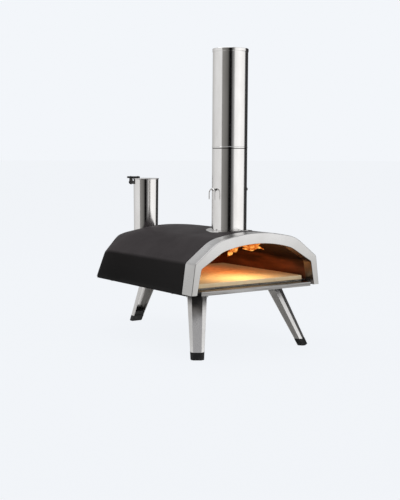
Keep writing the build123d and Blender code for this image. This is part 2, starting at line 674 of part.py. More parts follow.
# Upright plane along the slope: local x runs down the slope, local y along its normal.
slope_side = Plane(origin=slope_plane.origin, x_dir=slope_plane.y_dir, z_dir=(1, 0, 0))

with BuildPart() as burner_housing:
    with BuildSketch(Plane.YZ.offset(-HOUSING_X)):
        Polygon(*housing_outline(0, HOUSING_START), align=None)
    extrude(amount=2 * HOUSING_X)
    fillet(burner_housing.edges().filter_by(Axis.Y).group_by(Axis.Z)[-1], HOUSING_EDGE_R)
    with BuildSketch(Plane.YZ.offset(-HOUSING_X + HOUSING_T)):
        Polygon(*housing_outline(HOUSING_T, HOUSING_START - PAST), align=None)
    extrude(amount=2 * (HOUSING_X - HOUSING_T), mode=Mode.SUBTRACT)
    with Locations((0, at_depth(HOUSING_END), (TRAY_Z0 + TRAY_Z1) / 2)):
        Box(2 * TRAY_X + TRAY_SLOT, LIP, TRAY_Z1 - TRAY_Z0 + TRAY_SLOT, mode=Mode.SUBTRACT)
    with Locations((0, at_depth(HOPPER_DEPTH), HOUSING_Z1)):
        Cylinder(HOUSING_BORE_R, LIP, mode=Mode.SUBTRACT)
    with BuildSketch(slope_plane.offset(-LIP / 2)):
        RectangleRounded(2 * (HATCH_X - HATCH_LAND), HATCH_LENGTH - 2 * HATCH_LAND, HATCH_CORNER_R)
    extrude(amount=LIP, mode=Mode.SUBTRACT)
burner_housing.part.label = "burner_housing"
export_step(burner_housing.part, "parts/burner_housing.step")

TRAY_START = 456.0
TRAY_FACE = HOUSING_END + GAP
TRAY_FACE_T = 1.5
TRAY_FACE_X = TRAY_X + 5.0
TRAY_FACE_H = TRAY_Z1 - TRAY_Z0 + 6.0
TRAY_CORNER_R = 3.0
with BuildPart() as fuel_tray:
    with Locations((0, at_depth(TRAY_START), TRAY_Z0)):
        Box(
            2 * TRAY_X,
            TRAY_FACE - TRAY_START,
            TRAY_Z1 - TRAY_Z0,
            align=(Align.CENTER, Align.MIN, Align.MIN),
        )
    with Locations((0, at_depth(TRAY_START) + TRIM_T, TRAY_Z0 + TRIM_T)):
        Box(
            2 * (TRAY_X - TRIM_T),
            TRAY_FACE - TRAY_START - TRIM_T,
            CUT_SPAN,
            align=(Align.CENTER, Align.MIN, Align.MIN),
            mode=Mode.SUBTRACT,
        )
    with BuildSketch(Plane.XZ.offset(-at_depth(TRAY_FACE))):
        with Locations((0, (TRAY_Z0 + TRAY_Z1) / 2)):
            RectangleRounded(2 * TRAY_FACE_X, TRAY_FACE_H, TRAY_CORNER_R)
    extrude(amount=-TRAY_FACE_T)
fuel_tray.part.label = "fuel_tray"
export_step(fuel_tray.part, "parts/fuel_tray.step")

# Perforated grate that stands on its folded sides in the tray.
GRATE_X = 42.0
GRATE_START = 459.0
GRATE_END = 602.0
GRATE_Z = 173.0
GRATE_HOLE_R = 3.0
GRATE_PITCH = 13.0
GRATE_HOLES = (6, 10)
with BuildPart() as fuel_grate:
    with Locations((0, at_depth(GRATE_START), TRAY_Z0 + TRIM_T)):
        Box(
            2 * GRATE_X,
            GRATE_END - GRATE_START,
            GRATE_Z - TRAY_Z0 - TRIM_T,
            align=(Align.CENTER, Align.MIN, Align.MIN),
        )
        Box(
            2 * (GRATE_X - TRIM_T),
            GRATE_END - GRATE_START,
            GRATE_Z - TRAY_Z0 - 2 * TRIM_T,
            align=(Align.CENTER, Align.MIN, Align.MIN),
            mode=Mode.SUBTRACT,
        )
    with Locations((0, at_depth((GRATE_START + GRATE_END) / 2), GRATE_Z)):
        with GridLocations(GRATE_PITCH, GRATE_PITCH, *GRATE_HOLES):
            Cylinder(GRATE_HOLE_R, LIP, mode=Mode.SUBTRACT)
fuel_grate.part.label = "fuel_grate"
export_step(fuel_grate.part, "parts/fuel_grate.step")

GRIP_R = 7.0
GRIP_HALF = 27.0
GRIP_Z = 176.0
GRIP_Y = at_depth(DEPTH - GRIP_R)
HANDLE_T = 2.0
HANDLE_W = 12.0
HANDLE_TAB = 12.0
HANDLE_ROD_R = 2.0
BRACKET_X = 30.0
GRIP_EDGE_R = 2.0
tray_face_y = at_depth(TRAY_FACE + TRAY_FACE_T)
with BuildPart() as tray_handle:
    with BuildSketch(Plane.XY.offset(GRIP_Z - HANDLE_W / 2)):
        for side in (-1, 1):
            with Locations((side * BRACKET_X, tray_face_y)):
                Rectangle(HANDLE_T, GRIP_Y + GRIP_R / 2 - tray_face_y, align=(Align.CENTER, Align.MIN))
            with Locations((side * (BRACKET_X - (HANDLE_TAB - HANDLE_T) / 2), tray_face_y)):
                Rectangle(HANDLE_TAB, HANDLE_T, align=(Align.CENTER, Align.MIN))
    extrude(amount=HANDLE_W)
    with BuildSketch(Plane.YZ.offset(-BRACKET_X - GRIP_EDGE_R)):
        with Locations((GRIP_Y, GRIP_Z)):
            Circle(HANDLE_ROD_R)
    extrude(amount=2 * (BRACKET_X + GRIP_EDGE_R))
tray_handle.part.label = "tray_handle"
export_step(tray_handle.part, "parts/tray_handle.step")

with BuildPart() as tray_grip:
    with BuildSketch(Plane.YZ.offset(-GRIP_HALF)):
        with Locations((GRIP_Y, GRIP_Z)):
            Circle(GRIP_R)
            Circle(HANDLE_ROD_R + FIT, mode=Mode.SUBTRACT)
    extrude(amount=2 * GRIP_HALF)
    rims = tray_grip.edges().filter_by(GeomType.CIRCLE).filter_by(lambda edge: edge.radius > GRIP_R / 2)
    fillet(rims, GRIP_EDGE_R)
tray_grip.part.label = "tray_grip"
export_step(tray_grip.part, "parts/tray_grip.step")

# ---- hatch on the housing's slope ----

KNUCKLE_R = 3.6
KNUCKLE_HALF = 18.0
LUG_HALF = 3.0
LUG_X = 23.0
LEAF_REACH = 8.0
KNOB_Y = HATCH_LENGTH / 2 - 14.0
KNOB_STEM_R = 4.0
KNOB_STEM_H = 8.0
KNOB_R = 9.0
KNOB_H = 7.0
KNOB_EDGE_R = 2.5
with BuildPart() as rear_hatch:
    with BuildSketch(slope_plane.offset(HATCH_ROOM)):
        RectangleRounded(2 * HATCH_X, HATCH_LENGTH, HATCH_CORNER_R)
    extrude(amount=HATCH_T)
    with BuildSketch(slope_side.offset(-KNUCKLE_HALF)):
        with Locations((HATCH_PIN_Y, HATCH_PIN_H)):
            Circle(KNUCKLE_R)
        with Locations((HATCH_PIN_Y, HATCH_ROOM)):
            Rectangle(LEAF_REACH, HATCH_T, align=(Align.MIN, Align.MIN))
    extrude(amount=2 * KNUCKLE_HALF)
    with BuildSketch(slope_side.offset(-HATCH_X)):
        with Locations((HATCH_PIN_Y, HATCH_PIN_H)):
            Circle(HATCH_PIN_R + FIT)
    extrude(amount=2 * HATCH_X, mode=Mode.SUBTRACT)
rear_hatch.part.label = "rear_hatch"
export_step(rear_hatch.part, "parts/rear_hatch.step")

with BuildPart() as hatch_lugs:
    for side in (-1, 1):
        with BuildSketch(slope_side.offset(side * LUG_X - LUG_HALF)):
            with Locations((HATCH_PIN_Y, HATCH_PIN_H)):
                Circle(KNUCKLE_R)
            with Locations((HATCH_PIN_Y, 0)):
                Rectangle(2 * KNUCKLE_R, HATCH_PIN_H, align=(Align.CENTER, Align.MIN))
        extrude(amount=2 * LUG_HALF)
    with BuildSketch(slope_side.offset(-HATCH_X)):
        with Locations((HATCH_PIN_Y, HATCH_PIN_H)):
            Circle(HATCH_PIN_R + FIT)
    extrude(amount=2 * HATCH_X, mode=Mode.SUBTRACT)
hatch_lugs.part.label = "hatch_lugs"
export_step(hatch_lugs.part, "parts/hatch_lugs.step")

with BuildPart() as hatch_pin:
    with BuildSketch(slope_side.offset(-LUG_X - LUG_HALF - PAST)):
        with Locations((HATCH_PIN_Y, HATCH_PIN_H)):
            Circle(HATCH_PIN_R)
    extrude(amount=2 * (LUG_X + LUG_HALF + PAST))
hatch_pin.part.label = "hatch_pin"
export_step(hatch_pin.part, "parts/hatch_pin.step")

with BuildPart() as hatch_knob:
    with BuildSketch(slope_plane.offset(HATCH_ROOM + HATCH_T)):
        with Locations((0, KNOB_Y)):
            Circle(KNOB_STEM_R)
    extrude(amount=KNOB_STEM_H)
    with BuildSketch(slope_plane.offset(HATCH_ROOM + HATCH_T + KNOB_STEM_H)):
        with Locations((0, KNOB_Y)):
            Circle(KNOB_R)
    extrude(amount=KNOB_H)
    knob_rims = hatch_knob.edges().filter_by(GeomType.CIRCLE)
    fillet(knob_rims.filter_by(lambda edge: edge.radius > KNOB_STEM_R + PAST), KNOB_EDGE_R)
hatch_knob.part.label = "hatch_knob"
export_step(hatch_knob.part, "parts/hatch_knob.step")

# ================= hopper =================

HOPPER_COLLAR_T = 1.5
HOPPER_COLLAR_R = 44.0
SPIGOT_H = 30.0
COLLAR_RIVET_R = 39.0
HOPPER_FOOT = HOUSING_Z1 + HOPPER_COLLAR_T + GAP
SPIGOT_R = HOPPER_R0 - HOPPER_WALL - 0.1
hopper_axis = Axis((0, at_depth(HOPPER_DEPTH), 0), (0, 0, 1))
with BuildPart() as hopper_collar:
    with Locations((0, at_depth(HOPPER_DEPTH), HOUSING_Z1)):
        Cylinder(HOPPER_COLLAR_R, HOPPER_COLLAR_T, align=ON_BASE)
        Cylinder(SPIGOT_R, SPIGOT_H, align=ON_BASE)
        Cylinder(SPIGOT_R - HOPPER_WALL, CUT_SPAN, mode=Mode.SUBTRACT)
hopper_collar.part.label = "hopper_collar"
export_step(hopper_collar.part, "parts/hopper_collar.step")

with BuildPart() as collar_rivets:
    with Locations((0, at_depth(HOPPER_DEPTH), HOUSING_Z1 + HOPPER_COLLAR_T)):
        with PolarLocations(COLLAR_RIVET_R, 4, start_angle=45):
            Cylinder(RIVET_R, RIVET_DOME, align=ON_BASE)
    fillet(collar_rivets.edges().group_by(Axis.Z)[-1], RIVET_EDGE)
collar_rivets.part.label = "collar_rivets"
export_step(collar_rivets.part, "parts/collar_rivets.step")

with BuildPart() as hopper_tube:
    with BuildSketch(Plane.XZ.offset(-at_depth(HOPPER_DEPTH))):
        Polygon(
            (HOPPER_R0 - HOPPER_WALL, HOPPER_FOOT),
            (HOPPER_R0, HOPPER_FOOT),
            (HOPPER_R1, HOPPER_TOP),
            (HOPPER_R1 - HOPPER_WALL, HOPPER_TOP),
            align=None,
        )
    revolve(axis=hopper_axis)
hopper_tube.part.label = "hopper_tube"
export_step(hopper_tube.part, "parts/hopper_tube.step")

# ---- hopper lid and its hinge, at the side of the tube ----

LID_HEADING = 147.7       # plan direction of the hinge, degrees from +X
LID_HINGE_R = 41.5
LID_HINGE_Z = 397.5
LID_PIN_R = 2.0
LID_EAR_R = 6.2
LID_T = 3.0
LID_R = 35.6
LID_EDGE_R = 1.2
LID_ROOT_R = LID_EAR_R - 1.0
LID_ROOT_HALF = 6.0
LID_ROOT_H = 8.0
LEAF_X = 7.6
LEAF_T = 2.4
LEAF_TOP_T = 1.8
LEAF_W = 9.4
LID_PIN_HALF = 9.0
LID_PIN_HEAD = 1.5
PIN_SLOT_W = 1.0
PIN_SLOT_H = 0.8
PIN_SLOT_TURN = -20.0
LID_RIVET_R = 2.4
LID_RIVET_H = 1.0
LID_RIVET_EDGE = 0.7
TAB_T = 5.0
TAB_IN = 17.0
TAB_OUT = 52.5
TAB_HALF = 10.0
TAB_CORNER_R = 6.0
TAB_EDGE_R = 1.5
lid_out = Vector(cos(radians(LID_HEADING)), sin(radians(LID_HEADING)), 0)
lid_along = Vector(-lid_out.Y, lid_out.X, 0) * -1
hinge_origin = Vector(0, at_depth(HOPPER_DEPTH), LID_HINGE_Z) + lid_out * LID_HINGE_R
# Upright plane square to the hinge pin: local x points away from the tube, local y up.
hinge_plane = Plane(origin=hinge_origin, x_dir=lid_out, z_dir=lid_along)
LID_UNDER = HOPPER_TOP + GAP
LID_TOP = LID_UNDER + LID_T

with BuildPart() as lid_bracket:
    with BuildSketch(hinge_plane.offset(-LID_ROOT_HALF)):
        Circle(LID_ROOT_R)
        with Locations((0, LID_ROOT_H / 2 - LID_ROOT_R)):
            Rectangle(LIP, LID_ROOT_H, align=(Align.MAX, Align.CENTER))
        Circle(LID_PIN_R + FIT, mode=Mode.SUBTRACT)
    extrude(amount=2 * LID_ROOT_HALF)
    with Locations((0, at_depth(HOPPER_DEPTH), LID_HINGE_Z)):
        Cylinder(HOPPER_R1 - SNUG, HOPPER_R1, mode=Mode.SUBTRACT)
lid_bracket.part.label = "lid_bracket"
export_step(lid_bracket.part, "parts/lid_bracket.step")

with BuildPart() as hopper_lid:
    with Locations((0, at_depth(HOPPER_DEPTH), LID_UNDER)):
        Cylinder(LID_R, LID_T, align=ON_BASE)
    fillet(hopper_lid.edges().group_by(Axis.Z)[-1], LID_EDGE_R)
hopper_lid.part.label = "hopper_lid"
export_step(hopper_lid.part, "parts/hopper_lid.step")

with BuildPart() as lid_leaf:
    for side in (-1, 1):
        with BuildSketch(hinge_plane.offset(side * LEAF_X - LEAF_T / 2)):
            Circle(LID_EAR_R)
            Rectangle(LEAF_W, LID_TOP - LID_HINGE_Z, align=(Align.CENTER, Align.MIN))
            Circle(LID_PIN_R + SNUG, mode=Mode.SUBTRACT)
        extrude(amount=LEAF_T)
    leaf_top = Plane(origin=hinge_origin + Vector(0, 0, LID_TOP - LID_HINGE_Z), x_dir=lid_out)
    with BuildSketch(leaf_top):
        Rectangle(LEAF_W, 2 * LEAF_X + LEAF_T)
    extrude(amount=-LEAF_TOP_T)
lid_leaf.part.label = "lid_leaf"
export_step(lid_leaf.part, "parts/lid_leaf.step")

lid_top = Plane(origin=(0, at_depth(HOPPER_DEPTH), LID_TOP), x_dir=lid_out)
with BuildPart() as lid_tab:
    with BuildSketch(lid_top):
        with Locations(((TAB_IN + TAB_OUT) / 2, 0)):
            RectangleRounded(TAB_OUT - TAB_IN, 2 * TAB_HALF, TAB_CORNER_R)
    extrude(amount=TAB_T)
    fillet(lid_tab.edges().group_by(Axis.Z)[-1], TAB_EDGE_R)
lid_tab.part.label = "lid_tab"
export_step(lid_tab.part, "parts/lid_tab.step")

with BuildPart() as lid_rivets:
    with BuildSketch(lid_top.offset(TAB_T)):
        with Locations((TAB_IN + TAB_CORNER_R, 0), (LID_HINGE_R + PAST, 0)):
            Circle(LID_RIVET_R)
    extrude(amount=LID_RIVET_H)
    fillet(lid_rivets.edges().group_by(Axis.Z)[-1], LID_RIVET_EDGE)
lid_rivets.part.label = "lid_rivets"
export_step(lid_rivets.part, "parts/lid_rivets.step")

with BuildPart() as lid_pin:
    with BuildSketch(hinge_plane.offset(-LID_PIN_HALF)):
        Circle(LID_PIN_R)
    extrude(amount=2 * LID_PIN_HALF)
    for start in (-LID_PIN_HALF - LID_PIN_HEAD, LID_PIN_HALF):
        with BuildSketch(hinge_plane.offset(start)):
            Circle(2 * LID_PIN_R)
        extrude(amount=LID_PIN_HEAD)
    with BuildSketch(hinge_plane.offset(-LID_PIN_HALF - LID_PIN_HEAD)):
        Rectangle(PIN_SLOT_W, LIP, rotation=PIN_SLOT_TURN)
    extrude(amount=PIN_SLOT_H, mode=Mode.SUBTRACT)
lid_pin.part.label = "lid_pin"
export_step(lid_pin.part, "parts/lid_pin.step")

# ================= folding legs =================
# Each leg is a tapered sheet channel with its open side inwards. In a leg's section plane local x runs
# across the leg and local y points outwards, with the hinge pin at the origin.

LEG_TOP_W = 49.5
LEG_FOOT_W = 28.5
LEG_OUT_TOP = 16.0
LEG_OUT_FOOT = 10.5
LEG_IN_TOP = -9.0
LEG_IN_FOOT = -4.5
BEVEL_W_TOP = 11.0
BEVEL_W_FOOT = 5.5
BEVEL_D_TOP = 7.0
BEVEL_D_FOOT = 5.0
LEG_ABOVE = 24.0
LEG_BELOW = 185.0
CAP_TOP = 17.0
CAP_OUT = 0.3
PLUG_TOP = 30.0
BRACKET_HALF = 20.0
BRACKET_T = 2.0
BRACKET_EAR_R = 7.5
BRACKET_OUT = 1.0
BRACKET_IN = -22.0
BRACKET_RIVET_X = -16.0
BRACKET_RIVET_Y = 9.0
LEG_TOP_Z = BASE_Z - 2 * GAP
LEG_CLEAR_R = 9.8
LEG_FOLD_R = 1.2
OPEN_PAST = 10.0
PLUG_ROOM = 0.1
PLUG_SHORT = 1.5
FOOT_EDGE_R = 1.5
PIN_HEAD_R = 5.0
PIN_HEAD_T = 1.4


def leg_section(grow, foot, open_side):
    """Corners of the channel's section at one end, grown outwards; open_side extends it inwards."""
    width = (LEG_FOOT_W if foot else LEG_TOP_W) / 2 + grow
    out = (LEG_OUT_FOOT if foot else LEG_OUT_TOP) + grow
    inner = (LEG_IN_FOOT if foot else LEG_IN_TOP) - open_side
    bevel_w = BEVEL_W_FOOT if foot else BEVEL_W_TOP
    bevel_d = BEVEL_D_FOOT if foot else BEVEL_D_TOP
    right = [(width, inner), (width, out - bevel_d), (width - bevel_w, out)]
    return right + [(-x, y) for x, y in reversed(right)]


def leg_body(leg_plane, grow, open_side):
    """Solid taper of the leg's section, from above the pin to below the floor."""
    with BuildPart() as body:
        with BuildSketch(leg_plane.offset(-LEG_ABOVE)):
            Polygon(*leg_section(grow, False, open_side), align=None)
        with BuildSketch(leg_plane.offset(LEG_BELOW)):
            Polygon(*leg_section(grow, True, open_side), align=None)
        loft(ruled=True)
    return body.part


def slab(low, high):
    """Wide slab of space between two heights."""
    with BuildPart() as space:
        with Locations((0, 0, low)):
            Box(CUT_SPAN, CUT_SPAN, high - low, align=ON_BASE)
    return space.part


LEGS = {
    "front_left": ((-FRONT_PIVOT_X, at_depth(FRONT_PIVOT_DEPTH)), 180 - FRONT_LEG_HEADING, LEG_TILT),
    "front_right": ((FRONT_PIVOT_X, at_depth(FRONT_PIVOT_DEPTH)), FRONT_LEG_HEADING, LEG_TILT),
    "rear": ((0, at_depth(REAR_PIVOT_DEPTH)), 90.0, REAR_LEG_TILT),
}

for leg_name, (pivot_xy, heading, tilt) in LEGS.items():
    pivot = Vector(pivot_xy[0], pivot_xy[1], LEG_PIVOT_Z)
    outward = Vector(cos(radians(heading)), sin(radians(heading)), 0)
    across = Vector(-outward.Y, outward.X, 0)
    down = outward * sin(radians(tilt)) - Vector(0, 0, cos(radians(tilt)))
    leg_plane = Plane(origin=pivot, x_dir=across, z_dir=down)
    # Upright plane square to the pin: local x points outwards, local y up.
    side_plane = Plane(origin=pivot, x_dir=outward, z_dir=outward.cross(Vector(0, 0, 1)))
    above_pin = LEG_TOP_Z - LEG_PIVOT_Z

    with BuildPart() as leg:
        add(leg_body(leg_plane, 0, 0))
        fillet(leg.edges().filter_by(lambda edge: edge.length > LEG_BELOW), LEG_FOLD_R)
        add(leg_body(leg_plane, -LEG_T, OPEN_PAST), mode=Mode.SUBTRACT)
        add(slab(-CUT_SPAN, CAP_TOP), mode=Mode.SUBTRACT)
        with BuildSketch(side_plane.offset(-LEG_TOP_W)):
            with Locations((0, above_pin)):
                Rectangle(LEG_BELOW, LEG_ABOVE, align=(Align.CENTER, Align.MIN))
            Rectangle(LEG_BELOW, 2 * LEG_ABOVE, align=(Align.MAX, Align.MIN))
            Circle(LEG_CLEAR_R, mode=Mode.SUBTRACT)
        extrude(amount=2 * LEG_TOP_W, mode=Mode.SUBTRACT)
        with BuildSketch(side_plane.offset(-LEG_TOP_W)):
            Circle(PIN_R + FIT)
        extrude(amount=2 * LEG_TOP_W, mode=Mode.SUBTRACT)
    leg.part.label = f"leg_{leg_name}"
    export_step(leg.part, f"parts/leg_{leg_name}.step")

    with BuildPart() as foot_cap:
        add(leg_body(leg_plane, CAP_OUT, 0))
        add(slab(0, CAP_TOP), mode=Mode.INTERSECT)
        fillet(foot_cap.edges().group_by(Axis.Z)[0], FOOT_EDGE_R)
    with BuildPart() as foot_plug:
        add(leg_body(leg_plane, -LEG_T - PLUG_ROOM, -PLUG_SHORT))
        add(slab(CAP_TOP - PAST, PLUG_TOP), mode=Mode.INTERSECT)
    with BuildPart() as foot:
        add(foot_cap.part)
        add(foot_plug.part)
    foot.part.label = f"foot_{leg_name}"
    export_step(foot.part, f"parts/foot_{leg_name}.step")

    with BuildPart() as bracket:
        plate_plane = Plane(origin=(pivot.X, pivot.Y, BASE_Z - BRACKET_T), x_dir=outward)
        with BuildSketch(plate_plane):
            with Locations((BRACKET_IN, 0)):
                Rectangle(BRACKET_OUT - BRACKET_IN, 2 * BRACKET_HALF, align=(Align.MIN, Align.CENTER))
        extrude(amount=BRACKET_T)
        for side in (-1, 1):
            with BuildSketch(side_plane.offset(side * (BRACKET_HALF - BRACKET_T) - BRACKET_T / 2)):
                Circle(BRACKET_EAR_R)
                with Locations((BRACKET_OUT, 0)):
                    Rectangle(
                        BRACKET_OUT + BRACKET_EAR_R, BASE_Z - LEG_PIVOT_Z, align=(Align.MAX, Align.MIN)
                    )
                Circle(PIN_R + FIT, mode=Mode.SUBTRACT)
            extrude(amount=BRACKET_T)
    bracket.part.label = f"leg_bracket_{leg_name}"
    export_step(bracket.part, f"parts/leg_bracket_{leg_name}.step")

    with BuildPart() as pin:
        reach = LEG_TOP_W / 2 + GAP
        with BuildSketch(side_plane.offset(-reach)):
            Circle(PIN_R)
        extrude(amount=2 * reach)
        for start in (-reach - PIN_HEAD_T, reach):
            with BuildSketch(side_plane.offset(start)):
                Circle(PIN_HEAD_R)
            extrude(amount=PIN_HEAD_T)
    pin.part.label = f"leg_pin_{leg_name}"
    export_step(pin.part, f"parts/leg_pin_{leg_name}.step")

with BuildPart() as bracket_rivets:
    for pivot_xy, heading, _ in LEGS.values():
        outward = Vector(cos(radians(heading)), sin(radians(heading)), 0)
        plate = Plane(origin=(pivot_xy[0], pivot_xy[1], BASE_Z - BRACKET_T), x_dir=outward, z_dir=(0, 0, -1))
        with BuildSketch(plate):
            with Locations((BRACKET_RIVET_X, BRACKET_RIVET_Y), (BRACKET_RIVET_X, -BRACKET_RIVET_Y)):
                Circle(RIVET_R)
        extrude(amount=RIVET_DOME)
bracket_rivets.part.label = "bracket_rivets"
export_step(bracket_rivets.part, "parts/bracket_rivets.step")
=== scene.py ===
import json
from math import cos, pi, radians, sin, tan

import bmesh
import bpy
from mathutils import Matrix, Vector


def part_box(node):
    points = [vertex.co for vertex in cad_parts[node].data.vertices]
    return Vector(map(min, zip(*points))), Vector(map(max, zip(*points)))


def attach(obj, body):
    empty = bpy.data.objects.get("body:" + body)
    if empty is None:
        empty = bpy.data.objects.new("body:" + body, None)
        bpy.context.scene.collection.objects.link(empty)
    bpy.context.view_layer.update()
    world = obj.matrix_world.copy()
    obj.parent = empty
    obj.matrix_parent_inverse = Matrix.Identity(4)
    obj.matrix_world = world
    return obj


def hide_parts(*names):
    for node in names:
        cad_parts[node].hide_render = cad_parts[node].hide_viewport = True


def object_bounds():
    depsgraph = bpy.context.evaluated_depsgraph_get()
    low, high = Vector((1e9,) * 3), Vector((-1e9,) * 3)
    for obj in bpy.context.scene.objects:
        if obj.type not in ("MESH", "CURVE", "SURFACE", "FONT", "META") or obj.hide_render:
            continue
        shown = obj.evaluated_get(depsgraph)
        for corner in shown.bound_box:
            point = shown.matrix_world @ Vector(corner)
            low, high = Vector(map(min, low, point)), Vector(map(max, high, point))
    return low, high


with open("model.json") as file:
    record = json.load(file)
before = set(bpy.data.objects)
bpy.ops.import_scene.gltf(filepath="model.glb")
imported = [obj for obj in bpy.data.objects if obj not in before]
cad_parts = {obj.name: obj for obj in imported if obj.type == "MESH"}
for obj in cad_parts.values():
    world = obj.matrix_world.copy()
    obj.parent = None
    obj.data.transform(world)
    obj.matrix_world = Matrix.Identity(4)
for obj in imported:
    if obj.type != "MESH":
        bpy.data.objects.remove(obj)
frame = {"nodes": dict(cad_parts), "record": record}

# A portable wood-fired pizza oven. Everything is in metres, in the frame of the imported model.

CAD_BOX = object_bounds()
SLOT_OF = {part["node"]: part["material_slot"] for part in frame["record"]["subparts"]}
SHELL_NODES = [node for node, slot in SLOT_OF.items() if "shell" in node and slot == "powder_coat"]


def joint_box(nodes):
    """Lowest and highest corner of several CAD nodes together."""
    corners = [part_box(node) for node in nodes]
    low = Vector([min(box[0][axis] for box in corners) for axis in range(3)])
    high = Vector([max(box[1][axis] for box in corners) for axis in range(3)])
    return low, high


SHELL_BOX = joint_box(SHELL_NODES)

# ---- the camera, as seen from the oven ----
VIEW_TURN = radians(35.53)      # the view turns this far from straight into the mouth
VIEW_FALL = radians(5.66)       # and looks down by this much
VIEW_ROLL = radians(0.33)
CAMERA_PLACE = Vector((-1.43833, -2.10459, 0.47463))
LENS = 69.35
SENSOR = 36.0

BACKDROP = (0.896, 0.921, 0.956)


# ================= node materials =================

class Recipe:
    """A node material under construction. Sizes of its patterns are in metres."""

    def __init__(self, name, **shader_values):
        self.material = bpy.data.materials.new(name)
        self.material.use_nodes = True
        self.tree = self.material.node_tree
        self.shader = self.tree.nodes["Principled BSDF"]
        for key, value in shader_values.items():
            self.shader.inputs[key.replace("_", " ")].default_value = value
        self.place = self.add("TexCoord").outputs["Object"]

    def add(self, kind, inputs=None, **settings):
        node = self.tree.nodes.new("ShaderNode" + kind)
        for key, value in settings.items():
            setattr(node, key, value)
        for key, value in (inputs or {}).items():
            self.feed(node.inputs[key], value)
        return node

    def feed(self, socket, value):
        if isinstance(value, bpy.types.NodeSocket):
            self.tree.links.new(value, socket)
        else:
            socket.default_value = value

    def stretched(self, lengths):
        """Object coordinates divided by a length along each axis."""
        scale = [1 / length for length in lengths]
        return self.add("Mapping", {"Vector": self.place, "Scale": scale}).outputs["Vector"]

    def along(self, axis):
        """Where the surface is along X, Y or Z."""
        return self.add("SeparateXYZ", {"Vector": self.place}).outputs[axis]

    def facing(self, axis):
        """How far the surface faces along X, Y or Z."""
        normal = self.add("NewGeometry").outputs["Normal"]
        return self.add("SeparateXYZ", {"Vector": normal}).outputs[axis]

    def noise(self, lengths, detail=3.0, rough=0.55):
        """Noise between 0 and 1 whose blotches measure about these lengths."""
        vector = self.stretched(lengths)
        settings = {"Vector": vector, "Scale": 1.0, "Detail": detail, "Roughness": rough}
        return self.add("TexNoise", settings).outputs["Fac"]

    def cells(self, length):
        """Distance to the nearest of scattered points, from 0 at each point."""
        vector = self.stretched((length, length, length))
        return self.add("TexVoronoi", {"Vector": vector, "Scale": 1.0}).outputs["Distance"]

    def between(self, value, low, high, to_low=0.0, to_high=1.0):
        """The value's stretch from low to high, spread over another range and clamped to it."""
        inputs = {"Value": value, "From Min": low, "From Max": high, "To Min": to_low, "To Max": to_high}
        return self.add("MapRange", inputs).outputs["Result"]

    def math(self, operation, first, second):
        node = self.add("Math", operation=operation)
        self.feed(node.inputs[0], first)
        self.feed(node.inputs[1], second)
        return node.outputs[0]

    def blend(self, amount, first, second):
        """The first colour where amount is 0 and the second where it is 1."""
        node = self.add("Mix", data_type="RGBA")
        self.feed(node.inputs["Factor"], amount)
        self.feed(node.inputs["A"], first)
        self.feed(node.inputs["B"], second)
        return node.outputs["Result"]

    def convex_edge(self, low=0.52, high=0.6):
        """1 along convex edges and 0 elsewhere."""
        return self.between(self.add("NewGeometry").outputs["Pointiness"], low, high)

    def bump(self, height, distance, strength=1.0, under=None):
        inputs = {"Height": height, "Distance": distance, "Strength": strength}
        if under is not None:
            inputs["Normal"] = under
        return self.add("Bump", inputs).outputs["Normal"]

    def finish(self, color=None, rough=None, normal=None, metallic=None):
        values = {"Base Color": color, "Roughness": rough, "Normal": normal, "Metallic": metallic}
        for name, value in values.items():
            if value is not None:
                self.feed(self.shader.inputs[name], value)
        return self.material


def rgb(red, green, blue):
    return (red, green, blue, 1.0)


def powder_coat():
    """Satin black baked powder: a fine orange peel, faint clouding and slightly burnished edges, with
    painted shade darkening its sides towards the foot and painted light on faces that look up.
    """
    m = Recipe("powder_coat", Specular_IOR_Level=0.04)
    low, high = SHELL_BOX
    peel = m.noise((0.0011, 0.0011, 0.0011), 4.0)
    cloud = m.noise((0.07, 0.07, 0.07), 3.0)
    dust = m.between(m.cells(0.006), 0.0, 0.09, 1.0, 0.0)
    dust = m.math("MULTIPLY", dust, m.between(m.noise((0.02, 0.02, 0.02)), 0.5, 0.75))
    # Painted shade: the sides are painted darker towards the foot, where less light reaches them.
    painted_shade_fade = m.between(m.along("Z"), low.z, (low.z + high.z) / 2)
    side = m.blend(painted_shade_fade, rgb(0.0004, 0.0002, 0.0002), rgb(0.0050, 0.0036, 0.0036))
    # Painted light: faces that look up are painted lighter, as if lit from above.
    color = m.blend(m.between(m.facing("Z"), 0.2, 0.75), side, rgb(0.0470, 0.0400, 0.0415))
    color = m.blend(m.between(cloud, 0.35, 0.65, 0.0, 0.20), color, rgb(0.0040, 0.0034, 0.0034))
    color = m.blend(m.math("MULTIPLY", dust, 0.12), color, rgb(0.06, 0.058, 0.056))
    color = m.blend(m.math("MULTIPLY", m.convex_edge(), 0.20), color, rgb(0.05, 0.048, 0.047))
    fine_rough = m.between(peel, 0.3, 0.7, -0.02, 0.02)
    rough = m.math("ADD", m.between(cloud, 0.3, 0.7, 0.44, 0.50), fine_rough)
    return m.finish(color, rough, m.bump(peel, 0.00010, 0.25))


def brushed_steel():
    """Stainless sheet with a brushed grain across the oven, smudged by hands and heat."""
    m = Recipe("brushed_sheet", Metallic=1.0, Anisotropic=0.45)
    grain = m.noise((0.04, 0.00035, 0.00035), 2.0)
    streaks = m.noise((0.11, 0.0022, 0.0022), 3.0)
    smudge = m.noise((0.045, 0.045, 0.045), 3.0)
    color = m.blend(m.between(streaks, 0.3, 0.7), rgb(0.594, 0.585, 0.576), rgb(0.66, 0.65, 0.64))
    color = m.blend(m.between(smudge, 0.55, 0.8, 0.0, 0.25), color, rgb(0.594, 0.546, 0.4864))
    color = m.blend(m.math("MULTIPLY", m.convex_edge(), 0.5), color, rgb(0.825, 0.8125, 0.80))
    smudge_rough = m.between(smudge, 0.3, 0.8, -0.03, 0.05)
    rough = m.math("ADD", m.between(grain, 0.3, 0.7, 0.26, 0.34), smudge_rough)
    return m.finish(color, rough, m.bump(grain, 0.00003, 0.25, m.bump(streaks, 0.00003, 0.10)))


